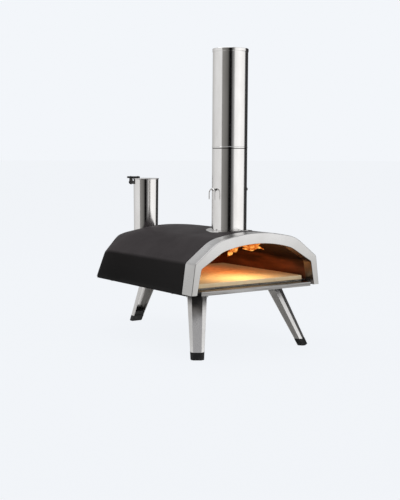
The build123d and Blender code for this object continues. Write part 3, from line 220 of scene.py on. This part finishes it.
def trim_steel():
    """Satin stainless of the mouth's trim: painted darker towards its feet and lighter along the crown as
    painted shade and light, with painted highlights on its edges, baked brown inside.
    """
    low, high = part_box("front_trim")
    m = Recipe("trim_steel", Metallic=1.0, Anisotropic=0.3)
    grain = m.noise((0.03, 0.03, 0.0004), 2.0)
    cloud = m.noise((0.05, 0.05, 0.05), 3.0)
    # Painted shade and light: the trim is painted darker towards its feet and lighter towards its crown.
    color = m.blend(m.between(m.along("Z"), low.z, high.z), rgb(0.33, 0.325, 0.315), rgb(0.64, 0.635, 0.63))
    color = m.blend(m.between(cloud, 0.4, 0.7, 0.0, 0.15), color, rgb(0.38, 0.36, 0.33))
    inwards = m.math("MULTIPLY", m.facing("X"), m.along("X"))
    color = m.blend(m.between(inwards, -0.03, -0.12), color, rgb(0.14, 0.10, 0.075))
    # Painted highlight: convex edges and creases are painted near-white, standing in for light reflected
    # along them.
    color = m.blend(m.math("MULTIPLY", m.convex_edge(0.54, 0.62), 0.35), color, rgb(0.9, 0.9, 0.9))
    rough = m.math("ADD", m.between(grain, 0.3, 0.7, 0.26, 0.32), m.between(cloud, 0.3, 0.8, -0.02, 0.04))
    return m.finish(color, rough, m.bump(grain, 0.00002, 0.2))


def threshold_steel():
    """The threshold's brushed sheet: streaked along its length, and darker on its top faces."""
    m = Recipe("threshold_steel", Metallic=1.0, Anisotropic=0.4)
    streaks = m.noise((0.12, 0.0012, 0.0012), 3.0)
    grain = m.noise((0.05, 0.0004, 0.0004), 2.0)
    color = m.blend(m.between(streaks, 0.35, 0.65), rgb(0.13, 0.125, 0.12), rgb(0.40, 0.395, 0.39))
    color = m.blend(m.between(m.facing("Z"), 0.4, 0.9), color, rgb(0.10, 0.095, 0.09))
    return m.finish(color, m.between(grain, 0.3, 0.7, 0.30, 0.38), m.bump(grain, 0.00003, 0.3))


def polished_steel():
    """Bright-rolled stainless tube: fine rings from the polishing wheel and a line of grime at the seam."""
    m = Recipe("polished_steel", Metallic=1.0)
    rings = m.noise((0.3, 0.3, 0.0009), 3.0)
    haze = m.noise((0.03, 0.03, 0.09), 3.0)
    color = m.blend(m.between(haze, 0.35, 0.7), rgb(0.78, 0.77, 0.76), rgb(0.70, 0.685, 0.67))
    rough = m.math("ADD", m.between(rings, 0.3, 0.7, 0.09, 0.13), m.between(haze, 0.4, 0.75, 0.0, 0.04))
    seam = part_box("chimney_lower")[1].z
    from_seam = m.math("ABSOLUTE", m.math("SUBTRACT", m.along("Z"), seam), 0.0)
    grime = m.between(from_seam, 0.0006, 0.0014, 1.0, 0.0)
    color = m.blend(grime, color, rgb(0.05, 0.045, 0.04))
    return m.finish(color, rough, m.bump(rings, 0.00002, 0.2))


def sooty_steel():
    """Chamber sheet: baked red-brown low on its walls, black with soot under the crown."""
    low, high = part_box("chamber_liner")
    m = Recipe("sooty_steel", Metallic=0.5)
    stain = m.noise((0.06, 0.09, 0.03), 4.0)
    licks = m.noise((0.03, 0.12, 0.02), 4.0)
    ragged_height = m.math("ADD", m.along("Z"), m.between(licks, 0.3, 0.7, -0.02, 0.02))
    soot = m.between(ragged_height, low.z + 0.01, high.z - 0.045)
    color = m.blend(m.between(stain, 0.35, 0.65), rgb(0.30, 0.13, 0.08), rgb(0.17, 0.08, 0.05))
    color = m.blend(soot, color, rgb(0.018, 0.009, 0.006))
    return m.finish(color, m.between(soot, 0.0, 1.0, 0.42, 0.62), m.bump(licks, 0.0003, 0.3))


def heated_steel():
    """Inside sheet: straw and blue-brown heat stains, soot near the crown, a dull roll finish."""
    m = Recipe("heated_steel", Metallic=1.0)
    stain = m.noise((0.05, 0.05, 0.035), 4.0)
    grain = m.noise((0.0006, 0.05, 0.0006), 2.0)
    soot = m.between(m.noise((0.03, 0.06, 0.02), 5.0), 0.42, 0.62)
    color = m.blend(m.between(stain, 0.35, 0.65), rgb(0.42, 0.33, 0.24), rgb(0.27, 0.22, 0.21))
    color = m.blend(soot, color, rgb(0.055, 0.045, 0.038))
    rough = m.math("ADD", m.between(soot, 0.0, 1.0, 0.38, 0.68), m.between(grain, 0.3, 0.7, -0.03, 0.03))
    return m.finish(color, rough, m.bump(grain, 0.00004, 0.4), m.between(soot, 0.0, 1.0, 1.0, 0.45))


def dark_steel():
    """Blackened steel hardware, rubbed bright along its edges."""
    m = Recipe("dark_steel", Metallic=0.85)
    mottle = m.noise((0.004, 0.004, 0.004), 4.0)
    color = m.blend(mottle, rgb(0.030, 0.029, 0.028), rgb(0.070, 0.066, 0.062))
    color = m.blend(m.math("MULTIPLY", m.convex_edge(), 0.6), color, rgb(0.30, 0.29, 0.28))
    return m.finish(color, m.between(mottle, 0.3, 0.7, 0.34, 0.46), m.bump(mottle, 0.00008, 0.4))


def plated_steel():
    """Zinc-plated pins, rivets and screws."""
    m = Recipe("plated_steel", Metallic=1.0)
    turned = m.noise((0.0004, 0.0004, 0.0015), 3.0)
    bloom = m.noise((0.003, 0.003, 0.003), 3.0)
    color = m.blend(bloom, rgb(0.50, 0.50, 0.52), rgb(0.64, 0.63, 0.62))
    return m.finish(color, m.between(turned, 0.3, 0.7, 0.22, 0.32), m.bump(turned, 0.00003, 0.4))


def ceramic_fibre():
    """Needled ceramic wool, off-white, with loose fibres and a few shot specks."""
    m = Recipe("ceramic_fibre", Roughness=0.95)
    fibre = m.noise((0.0006, 0.006, 0.0006), 5.0, 0.7)
    tuft = m.noise((0.006, 0.006, 0.006), 4.0)
    speck = m.between(m.cells(0.003), 0.03, 0.08, 1.0, 0.0)
    color = m.blend(fibre, rgb(0.62, 0.60, 0.55), rgb(0.86, 0.85, 0.81))
    color = m.blend(m.math("MULTIPLY", speck, 0.4), color, rgb(0.42, 0.38, 0.33))
    return m.finish(color, None, m.bump(fibre, 0.0006, 0.7, m.bump(tuft, 0.001, 0.6)))


def cordierite():
    """Pressed cordierite: cream body, darker grog grains, open pores, darker brown towards the back, and a
    faint painted orange glow.
    """
    # Painted glow: a faint orange emission makes the stone glow, though it is no lamp, standing in for
    # firelight on its front.
    painted_glow = rgb(1.0, 0.66, 0.30)
    m = Recipe("cordierite", Specular_IOR_Level=0.3, Emission_Color=painted_glow, Emission_Strength=0.10)
    body = m.noise((0.012, 0.012, 0.012), 4.0)
    grog = m.between(m.cells(0.0022), 0.10, 0.22, 1.0, 0.0)
    pores = m.between(m.cells(0.0011), 0.05, 0.16, 0.0, 1.0)
    toast = m.between(m.noise((0.09, 0.09, 0.05), 4.0), 0.5, 0.72)
    color = m.blend(body, rgb(0.88, 0.70, 0.44), rgb(0.95, 0.82, 0.58))
    color = m.blend(m.math("MULTIPLY", grog, 0.35), color, rgb(0.52, 0.38, 0.22))
    color = m.blend(m.math("MULTIPLY", toast, 0.22), color, rgb(0.40, 0.23, 0.10))
    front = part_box("baking_stone")[0].y
    ragged_depth = m.math("ADD", m.along("Y"), m.between(body, 0.3, 0.7, -0.03, 0.03))
    toward_back = m.between(ragged_depth, front + 0.06, front + 0.24)
    color = m.blend(m.math("MULTIPLY", toward_back, 0.85), color, rgb(0.22, 0.085, 0.025))
    relief = m.bump(pores, 0.0003, 0.7, m.bump(body, 0.0005, 0.3))
    return m.finish(color, m.between(body, 0.3, 0.7, 0.78, 0.9), relief)


def rubber():
    """Moulded black rubber, dusty and matt."""
    m = Recipe("rubber", Specular_IOR_Level=0.3)
    skin = m.noise((0.0009, 0.0009, 0.0009), 4.0)
    dust = m.noise((0.012, 0.012, 0.012), 4.0)
    color = m.blend(m.between(dust, 0.5, 0.8), rgb(0.008, 0.008, 0.008), rgb(0.030, 0.029, 0.028))
    return m.finish(color, m.between(dust, 0.3, 0.7, 0.55, 0.72), m.bump(skin, 0.00015, 0.5))


def black_plastic():
    """Heat-proof phenolic moulding with a fine spark-eroded texture."""
    m = Recipe("black_plastic", Specular_IOR_Level=0.4)
    spark = m.noise((0.0006, 0.0006, 0.0006), 5.0, 0.7)
    cloud = m.noise((0.02, 0.02, 0.02), 3.0)
    color = m.blend(cloud, rgb(0.011, 0.011, 0.012), rgb(0.020, 0.020, 0.021))
    color = m.blend(m.math("MULTIPLY", m.convex_edge(), 0.3), color, rgb(0.06, 0.06, 0.06))
    return m.finish(color, m.between(cloud, 0.3, 0.7, 0.36, 0.46), m.bump(spark, 0.00012, 0.5))


FINISHES = {
    "powder_coat": powder_coat(),
    "brushed_stainless": brushed_steel(),
    "polished_stainless": polished_steel(),
    "inner_steel": heated_steel(),
    "dark_steel": dark_steel(),
    "zinc_hardware": plated_steel(),
    "ceramic_fibre": ceramic_fibre(),
    "cordierite": cordierite(),
    "rubber": rubber(),
    "black_plastic": black_plastic(),
}

chamber_sheet = sooty_steel()
SPECIAL = {
    "front_trim": trim_steel(),
    "threshold": threshold_steel(),
    "chamber_liner": chamber_sheet,
    "rear_bulkhead": chamber_sheet,
    "flame_deflector": chamber_sheet,
}

for node_name, node_object in frame["nodes"].items():
    for material_slot in node_object.material_slots:
        material_slot.material = SPECIAL.get(node_name, FINISHES[SLOT_OF[node_name]])


# ================= meshes =================

SHARP_EDGE = radians(30)


def new_piece(name, bm, material, sharp=SHARP_EDGE):
    """Turn a bmesh into an object, shaded smooth except along edges sharper than this."""
    mesh = bpy.data.meshes.new(name)
    bmesh.ops.recalc_face_normals(bm, faces=bm.faces)
    bm.to_mesh(mesh)
    bm.free()
    mesh.shade_smooth()
    mesh.set_sharp_from_angle(angle=sharp)
    mesh.materials.append(material)
    piece = bpy.data.objects.new(name, mesh)
    bpy.context.scene.collection.objects.link(piece)
    return piece


def carve(piece, cutters, operation="DIFFERENCE"):
    """Subtract other objects from a piece, or keep what it shares with them, and delete them."""
    for cutter in cutters:
        modifier = piece.modifiers.new("cut", "BOOLEAN")
        modifier.operation = operation
        modifier.solver = "EXACT"
        modifier.object = cutter
        modifier.use_self = cutter is cutters[0]
    bpy.context.view_layer.update()
    carved = bpy.data.meshes.new_from_object(piece.evaluated_get(bpy.context.evaluated_depsgraph_get()))
    piece.modifiers.clear()
    piece.data = carved
    bm = bmesh.new()
    bm.from_mesh(carved)
    bmesh.ops.triangulate(bm, faces=[face for face in bm.faces if len(face.verts) > 4])
    bm.to_mesh(carved)
    bm.free()
    carved.set_sharp_from_angle(angle=SHARP_EDGE)
    for cutter in cutters:
        bpy.data.objects.remove(cutter)


def loft(rings):
    """Skin over rings of points that all have the same count, closed at both ends."""
    bm = bmesh.new()
    loops = [[bm.verts.new(point) for point in ring] for ring in rings]
    count = len(loops[0])
    for first, second in zip(loops, loops[1:]):
        for i in range(count):
            j = (i + 1) % count
            bm.faces.new((first[i], first[j], second[j], second[i]))
    bm.faces.new(loops[0])
    bm.faces.new(list(reversed(loops[-1])))
    return bm


def prism(outline, low, high):
    """Upright block over a plan outline."""
    return loft([[Vector((x, y, z)) for x, y in outline] for z in (low, high)])


def tangent_arc(start, heading, end, count):
    """Points along the arc that leaves the start this way and reaches the end, without the start."""
    chord = end - start
    half = heading.angle_signed(chord)
    points = []
    for i in range(1, count + 1):
        part = i / count
        reach = chord.length * sin(part * half) / sin(half)
        turn = (part - 1) * half
        points.append(start + Matrix.Rotation(-turn, 2) @ (chord.normalized() * reach))
    return points


# ================= the shell =================

SHELL_SHEET = 0.0012
SHELL_LIP = 0.012
BLANKET_INSET = 0.0022

# Corners of the shell's profile, as (across from its side, up from its foot).
CREASE = (-0.010, 0.0716)
SHOULDER = (-0.0595, 0.1084)
CROWN_EDGE = (-0.1065, 0.1273)
CREASE_ROUND = 0.005
FACET_BOW = 0.0009
FACET_STEPS = 8
CREASE_STEPS = 6
SHOULDER_STEPS = 8
CROWN_STEPS = 12
BELOW_FOOT = 0.032

# The hood sinks and then falls towards the tail. Lengths are measured from the shell's end.
HOOD_CREASE = 0.110
HOOD_RUN = 0.132
HOOD_FALL = radians(11.0)
CROWN_SINK = 0.003
SINK_LENGTH = 0.075
SINK_STEPS = 6
SINK_FROM = 0.100
TAIL_CORNER = 0.058
TAIL_LEAN = radians(21.6)
TAIL_TURN = radians(45.9)
TAIL_ROUND = 0.008
ROUND_STEPS = 6

# Room for the parts that pass through the shell, and how far its cutters reach past it.
FLUE_ROOM = 0.0003
HOUSING_ROOM = 0.001
HOUSING_ROOM_ABOVE = 0.0036
PAST_FRONT = 0.02
PAST_SHEET = 0.01
PAST_CROWN = (0.03, 0.05)
PAST_TAIL = 0.1


def half_arch(half, foot, crown):
    """Right half of the shell's profile as (x, z), from its foot to the middle of its crown."""
    corners = [Vector((half + across, foot + up)) for across, up in (CREASE, SHOULDER, CROWN_EDGE)]
    crease, shoulder, edge = corners
    start = Vector((half, foot))
    middle = Vector((0.0, crown))
    rise = (crease - start).normalized()
    slope = (shoulder - crease).normalized()
    outward = Vector((rise.y, -rise.x))
    points = [start - rise * BELOW_FOOT]
    for i in range(FACET_STEPS + 1):
        part = i / FACET_STEPS
        at = start.lerp(crease - rise * CREASE_ROUND, part)
        points.append(at + outward * (FACET_BOW * 4 * part * (1 - part)))
    points += tangent_arc(points[-1], rise, crease + slope * CREASE_ROUND, CREASE_STEPS)
    points.append(shoulder)
    points += tangent_arc(shoulder, slope, edge, SHOULDER_STEPS)
    bend = edge.x * edge.x / (2 * (middle.y - edge.y)) + (middle.y - edge.y) / 2
    for i in range(1, CROWN_STEPS + 1):
        x = edge.x * (1 - i / CROWN_STEPS)
        points.append(Vector((x, crown - bend + (bend * bend - x * x) ** 0.5)))
    return points


def inward(points, amount):
    """Move an open line of points towards its left side."""
    moved = []
    for i, point in enumerate(points):
        before = (point - points[i - 1]) if i > 0 else (points[1] - point)
        after = (points[i + 1] - point) if i + 1 < len(points) else before
        along = (before.normalized() + after.normalized()).normalized()
        moved.append(point + Vector((-along.y, along.x)) * amount)
    return moved


def tail_planes():
    """The tail's middle plane and its two side planes, each as a point and an outward direction."""
    low, high = SHELL_BOX
    planes = [(Vector((0, high.y, low.z)), Vector((0, cos(TAIL_LEAN), sin(TAIL_LEAN))))]
    for side in (-1, 1):
        across = side * cos(TAIL_TURN) * cos(TAIL_LEAN)
        outward = Vector((across, sin(TAIL_TURN) * cos(TAIL_LEAN), sin(TAIL_LEAN)))
        planes.append((Vector((side * high.x, high.y - TAIL_CORNER, low.z)), outward))
    return planes


def shell_body(inset, front, foot):
    """Closed body of the shell, drawn inset from its skin: arch, falling hood and rounded leaning tail."""
    low, high = SHELL_BOX
    half = inward(half_arch(high.x, low.z, high.z), inset)
    half[-1] = Vector((0.0, half[-1].y))
    profile = half + [Vector((-point.x, point.y)) for point in reversed(half[:-1])]
    crease_y = high.y - HOOD_CREASE
    top = profile[len(profile) // 2].y
    shoulder = low.z + SINK_FROM

    def ring(y, drop, sink):
        points = []
        for x, z in profile:
            share = max(0.0, min(1.0, (z - shoulder) / (top - shoulder)))
            points.append(Vector((x, y, z - drop - sink * share)))
        return points

    rings = [ring(front, 0, 0)]
    for i in range(SINK_STEPS + 1):
        part = i / SINK_STEPS
        rings.append(ring(crease_y - SINK_LENGTH * (1 - part), 0, CROWN_SINK * part * part))
    rings.append(ring(crease_y + HOOD_RUN, HOOD_RUN * tan(HOOD_FALL), CROWN_SINK))
    bm = loft(rings)
    planes = tail_planes()
    cuts = [(origin - outward * inset, outward) for origin, outward in planes]
    cuts.append((Vector((0, 0, foot)), Vector((0, 0, -1))))
    for place, outward in cuts:
        geometry = bm.verts[:] + bm.edges[:] + bm.faces[:]
        cut = bmesh.ops.bisect_plane(
            bm, geom=geometry, plane_co=place, plane_no=outward, clear_outer=True
        )
        edges = [item for item in cut["geom_cut"] if isinstance(item, bmesh.types.BMEdge)]
        bmesh.ops.contextual_create(bm, geom=edges)
    bmesh.ops.remove_doubles(bm, verts=bm.verts, dist=0.00001)
    bmesh.ops.recalc_face_normals(bm, faces=bm.faces)
    tail = [face for face in bm.faces if any(face.normal.dot(outward) > 0.9999 for _, outward in planes)]
    above = foot + 0.001
    edges = {edge for face in tail for edge in face.edges if max(v.co.z for v in edge.verts) > above}
    bmesh.ops.bevel(
        bm,
        geom=list(edges),
        offset=TAIL_ROUND - inset,
        segments=ROUND_STEPS,
        profile=0.5,
        affect="EDGES",
        clamp_overlap=False,
    )
    return bm


def foot_outline():
    """Plan of the shell's open foot, inside its lip."""
    low, high = SHELL_BOX
    side = high.x - SHELL_LIP
    end = high.y - SHELL_LIP
    quarter = high.x * cos(TAIL_TURN) + (high.y - TAIL_CORNER) * sin(TAIL_TURN) - SHELL_LIP
    plan = [
        (side, low.y - PAST_FRONT),
        (side, (quarter - side * cos(TAIL_TURN)) / sin(TAIL_TURN)),
        ((quarter - end * sin(TAIL_TURN)) / cos(TAIL_TURN), end),
    ]
    return plan + [(-x, y) for x, y in reversed(plan)]


def build_shell():
    """The shell's sheet, open at the mouth and at the foot, with ways for the flue and the housing."""
    low, high = SHELL_BOX
    housing_low, housing_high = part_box("burner_housing")
    flue_low, flue_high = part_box("chimney_lower")
    coat = FINISHES["powder_coat"]
    shell = new_piece("shell", shell_body(0.0, low.y, low.z), coat)
    inside = shell_body(SHELL_SHEET, low.y - PAST_FRONT, low.z + SHELL_SHEET)
    hollow = new_piece("hollow", inside, coat)
    foot_block = prism(foot_outline(), low.z - PAST_SHEET, low.z + PAST_SHEET)
    foot_way = new_piece("foot_way", foot_block, coat)
    middle = (flue_low + flue_high) / 2
    radius = (flue_high.x - flue_low.x) / 2 + FLUE_ROOM
    turns = [radians(angle) for angle in range(0, 360, 5)]
    circle = [(middle.x + radius * cos(turn), middle.y + radius * sin(turn)) for turn in turns]
    flue_block = prism(circle, high.z - PAST_CROWN[0], high.z + PAST_CROWN[1])
    flue_way = new_piece("flue_way", flue_block, coat)
    side = housing_high.x + HOUSING_ROOM
    near = housing_low.y + PAST_SHEET
    far = high.y + PAST_TAIL
    slot = [(-side, near), (side, near), (side, far), (-side, far)]
    housing_block = prism(slot, low.z - PAST_SHEET, housing_high.z + HOUSING_ROOM_ABOVE)
    housing_way = new_piece("housing_way", housing_block, coat)
    carve(shell, [hollow, foot_way, flue_way, housing_way])
    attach(shell, "oven")
    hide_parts(*SHELL_NODES)


def fit_blanket():
    """Trim the blanket where the hood sinks, so that it stays under the sheet."""
    low = SHELL_BOX[0]
    source = frame["nodes"]["shell_insulation"]
    blanket = bpy.data.objects.new("blanket", source.data.copy())
    blanket.matrix_world = source.matrix_world
    bpy.context.scene.collection.objects.link(blanket)
    inside = shell_body(BLANKET_INSET, low.y - PAST_FRONT, low.z + SHELL_SHEET)
    space = new_piece("space", inside, FINISHES["ceramic_fibre"])
    carve(blanket, [space], "INTERSECT")
    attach(blanket, "oven")
    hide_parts("shell_insulation")


build_shell()
fit_blanket()


# ================= studio =================

OVERHEAD_PLACE = (-0.5, 0.5, 2.6)
OVERHEAD_SIZE = 2.2
OVERHEAD_POWER = 22.0
FLOOR_REACH = 60.0
FLOOR_GREY = 0.04
FLOOR_GLOW = 0.955


def aim_camera():
    """The camera of the studio picture, turned and rolled as the view constants say."""
    ahead = (sin(VIEW_TURN) * cos(VIEW_FALL), cos(VIEW_TURN) * cos(VIEW_FALL), -sin(VIEW_FALL))
    forward = Vector(ahead)
    level_right = Vector((cos(VIEW_TURN), -sin(VIEW_TURN), 0))
    level_up = level_right.cross(forward)
    right = level_right * cos(VIEW_ROLL) + level_up * sin(VIEW_ROLL)
    up = level_up * cos(VIEW_ROLL) - level_right * sin(VIEW_ROLL)
    camera = bpy.data.objects.new("camera", bpy.data.cameras.new("camera"))
    camera.data.lens = LENS
    camera.data.sensor_width = SENSOR
    turned = Matrix((right, up, -forward)).transposed().to_4x4()
    camera.matrix_world = Matrix.Translation(CAMERA_PLACE) @ turned
    bpy.context.scene.collection.objects.link(camera)
    bpy.context.scene.camera = camera


def lay_floor():
    """A pale floor that mostly glows by itself, so that it meets the backdrop without a line."""
    mesh = bpy.data.meshes.new("floor")
    ways = ((-1, -1), (1, -1), (1, 1), (-1, 1))
    corners = [(x * FLOOR_REACH, y * FLOOR_REACH, 0) for x, y in ways]
    mesh.from_pydata(corners, [], [(0, 1, 2, 3)])
    floor = bpy.data.objects.new("floor", mesh)
    bpy.context.scene.collection.objects.link(floor)
    glow = {"Emission_Color": rgb(*BACKDROP), "Emission_Strength": FLOOR_GLOW}
    m = Recipe("floor", Roughness=1.0, Specular_IOR_Level=0.0, **glow)
    m.finish(rgb(FLOOR_GREY, FLOOR_GREY, FLOOR_GREY))
    mesh.materials.append(m.material)
    floor.visible_glossy = False


# Brightness of the studio round the horizon: (degrees to the right of the camera, grey, warmth).
STUDIO_RING = [
    (-180, 0.45, 0.00),
    (-150, 0.60, 0.00),
    (-110, 0.86, 0.00),
    (-58, 0.92, 0.00),
    (-53, 0.20, 0.01),
    (-49, 0.30, 0.01),
    (-20, 0.18, 0.01),
    (-12, 0.09, 0.01),
    (-8, 0.004, 0.00),
    (7, 0.004, 0.00),
    (11, 0.14, 0.00),
    (24, 0.42, 0.00),
    (30, 1.15, 0.00),
    (60, 1.30, 0.00),
    (104, 1.15, 0.00),
    (113, 0.03, 0.00),
    (168, 0.06, 0.00),
    (180, 0.45, 0.00),
]


def light_studio():
    """World light: soft panels and dark gaps round the horizon, and a soft dome above."""
    world = bpy.data.worlds.new("studio")
    bpy.context.scene.world = world
    world.use_nodes = True
    tree = world.node_tree
    tree.nodes.clear()

    def add(kind, inputs=(), **settings):
        node = tree.nodes.new("ShaderNode" + kind)
        for key, value in settings.items():
            setattr(node, key, value)
        for key, value in inputs:
            if isinstance(value, bpy.types.NodeSocket):
                tree.links.new(value, node.inputs[key])
            else:
                node.inputs[key].default_value = value
        return node

    def ramp(position, stops):
        node = add("ValToRGB", [(0, position)])
        elements = node.color_ramp.elements
        while len(elements) < len(stops):
            elements.new(0.5)
        for element, (place, color) in zip(elements, stops):
            element.position = place
            element.color = color
        return node.outputs["Color"]

    def warm(grey, warmth):
        return (grey * (1 + warmth * 2), grey, grey * (1 - warmth * 4), 1)

    def rise(low, high):
        limits = [("Value", height), ("From Min", low), ("From Max", high)]
        return add("MapRange", limits, interpolation_type="SMOOTHSTEP").outputs["Result"]

    def blend(amount, first, second):
        inputs = [("Factor", amount), ("A", first), ("B", second)]
        return add("Mix", inputs, data_type="RGBA").outputs["Result"]

    ray = add("TexCoord").outputs["Generated"]
    to_camera = (-sin(VIEW_TURN), -cos(VIEW_TURN), 0)
    to_right = (cos(VIEW_TURN), -sin(VIEW_TURN), 0)
    parts = []
    for way in (to_camera, to_right):
        part = add("VectorMath", [(0, ray), (1, way)], operation="DOT_PRODUCT")
        parts.append(part.outputs["Value"])
    plan = add("CombineXYZ", enumerate(parts)).outputs[0]
    turn = add("TexGradient", [(0, plan)], gradient_type="RADIAL").outputs["Fac"]
    height = add("SeparateXYZ", [(0, ray)]).outputs[2]
    stops = [(0.5 + angle / 360, warm(grey, warmth)) for angle, grey, warmth in STUDIO_RING]
    ring = ramp(turn, stops)
    dome = ramp(height, [(0.0, (0.40, 0.40, 0.41, 1)), (1.0, (0.60, 0.60, 0.62, 1))])
    surround = blend(rise(0.30, 0.70), ring, dome)
    studio = add("Background", [("Color", surround)])
    backdrop = add("Background", [("Color", rgb(*BACKDROP))])
    seen = add("LightPath").outputs["Is Camera Ray"]
    either = add("MixShader", [(0, seen), (1, studio.outputs[0]), (2, backdrop.outputs[0])])
    add("OutputWorld", [(0, either.outputs[0])])


def add_light(name, place, target, size, power, color=(1, 1, 1), kind="AREA"):
    data = bpy.data.lights.new(name, kind)
    data.energy = power
    data.color = color
    if kind == "AREA":
        data.size = size
    else:
        data.shadow_soft_size = size
    light = bpy.data.objects.new(name, data)
    light.location = place
    light.rotation_mode = "QUATERNION"
    towards = Vector(target) - Vector(place)
    light.rotation_quaternion = towards.to_track_quat("-Z", "Y")
    bpy.context.scene.collection.objects.link(light)
    return light


FIRE_COLOR = (1.0, 0.25, 0.03)
FIRE_POWER = 0.17
FIRE_SIZE = 0.03
# Hearts of the fire: x, distance in front of the stone's back edge and distance below the crown.
FIRE_PLACES = [
    (-0.05, 0.04, 0.035),
    (0.05, 0.08, 0.035),
    (0.05, 0.18, 0.03),
]
GLOW_COLOR = (1.0, 0.62, 0.26)
GLOW_POWER = 0.13
GLOW_SIZE = 0.12
GLOW_SPREAD = radians(130)


def light_fire():
    """Warm light of the fire, at the back of the chamber and along its crown."""
    stone_low, stone_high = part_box("baking_stone")
    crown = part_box("chamber_liner")[1].z
    for number, (x, before, below) in enumerate(FIRE_PLACES):
        y = stone_high.y - before
        place = (x, y, crown - below)
        add_light(f"fire_{number}", place, (x, y, 0), FIRE_SIZE, FIRE_POWER, FIRE_COLOR, "POINT")
    place = (0.0, stone_low.y + 0.05, crown - 0.012)
    target = (-0.03, stone_low.y + 0.03, 0)
    glow = add_light("glow", place, target, GLOW_SIZE, GLOW_POWER, GLOW_COLOR)
    glow.data.spread = GLOW_SPREAD


# Flames as (start, end, thickness). A point is x, distance behind the flue's middle and distance
# below the crown.
FLAMES = [
    ((-0.075, 0.020, 0.040), (-0.020, 0.008, 0.022), 0.0030),
    ((-0.052, 0.014, 0.034), (0.010, 0.002, 0.016), 0.0040),
    ((-0.028, 0.010, 0.024), (0.034, 0.004, 0.010), 0.0044),
    ((0.000, 0.006, 0.044), (0.018, -0.004, 0.014), 0.0062),
    ((0.014, 0.004, 0.032), (0.036, -0.008, 0.012), 0.0050),
    ((0.018, 0.002, 0.016), (0.078, -0.004, 0.009), 0.0058),
    ((0.044, 0.006, 0.020), (0.108, 0.000, 0.019), 0.0048),
    ((0.052, 0.012, 0.028), (0.118, 0.006, 0.030), 0.0030),
]
FLAME_STEPS = 18
FLAME_SIDES = 10
FLAME_WAVE = 0.004
FLAME_SHARP = radians(80)


def fire_glow():
    """Glowing gas that breaks up into clear gaps."""
    m = Recipe("fire_glow")
    tree = m.tree
    tree.nodes.remove(m.shader)
    wisp = m.noise((0.012, 0.012, 0.006), 4.0)
    color = m.blend(m.between(wisp, 0.42, 0.66), rgb(1.0, 0.16, 0.01), rgb(1.0, 0.52, 0.12))
    strength = m.between(wisp, 0.35, 0.7, 0.35, 1.5)
    flame = m.add("Emission", {"Color": color, "Strength": strength}).outputs[0]
    clear = m.add("BsdfTransparent").outputs[0]
    mix = m.add("MixShader", {0: m.between(wisp, 0.30, 0.48), 1: clear, 2: flame})
    tree.links.new(mix.outputs[0], tree.nodes["Material Output"].inputs["Surface"])
    return m.material


def make_flames():
    """Staged tongues of flame under the crown. They aren't part of the oven."""
    flue_low, flue_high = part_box("chimney_lower")
    flue = (flue_low + flue_high) / 2
    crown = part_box("chamber_liner")[1].z
    gas = fire_glow()
    for number, (start, end, thickness) in enumerate(FLAMES):
        head = Vector((start[0], flue.y + start[1], crown - start[2]))
        tail = Vector((end[0], flue.y + end[1], crown - end[2]))
        rings = []
        turns = [2 * pi * side / FLAME_SIDES for side in range(FLAME_SIDES)]
        for step in range(FLAME_STEPS):
            part = (step + 0.5) / FLAME_STEPS
            wave = FLAME_WAVE * sin(9 * part + 2 * number)
            middle = head.lerp(tail, part) + Vector((0, wave * 0.5, wave * part))
            width = thickness * sin(pi * part) ** 0.8 * (1.2 - 0.5 * part)
            around = [Vector((0.5 * cos(turn), cos(turn), 1.6 * sin(turn))) for turn in turns]
            rings.append([middle + way * width for way in around])
        flame = new_piece(f"flame_{number}", loft(rings), gas, FLAME_SHARP)
        flame.visible_shadow = False


aim_camera()
lay_floor()
light_studio()
light_fire()
make_flames()
oven_middle = (CAD_BOX[0] + CAD_BOX[1]) / 2
add_light("overhead", OVERHEAD_PLACE, oven_middle, OVERHEAD_SIZE, OVERHEAD_POWER)
bpy.context.scene.view_settings.view_transform = "Standard"
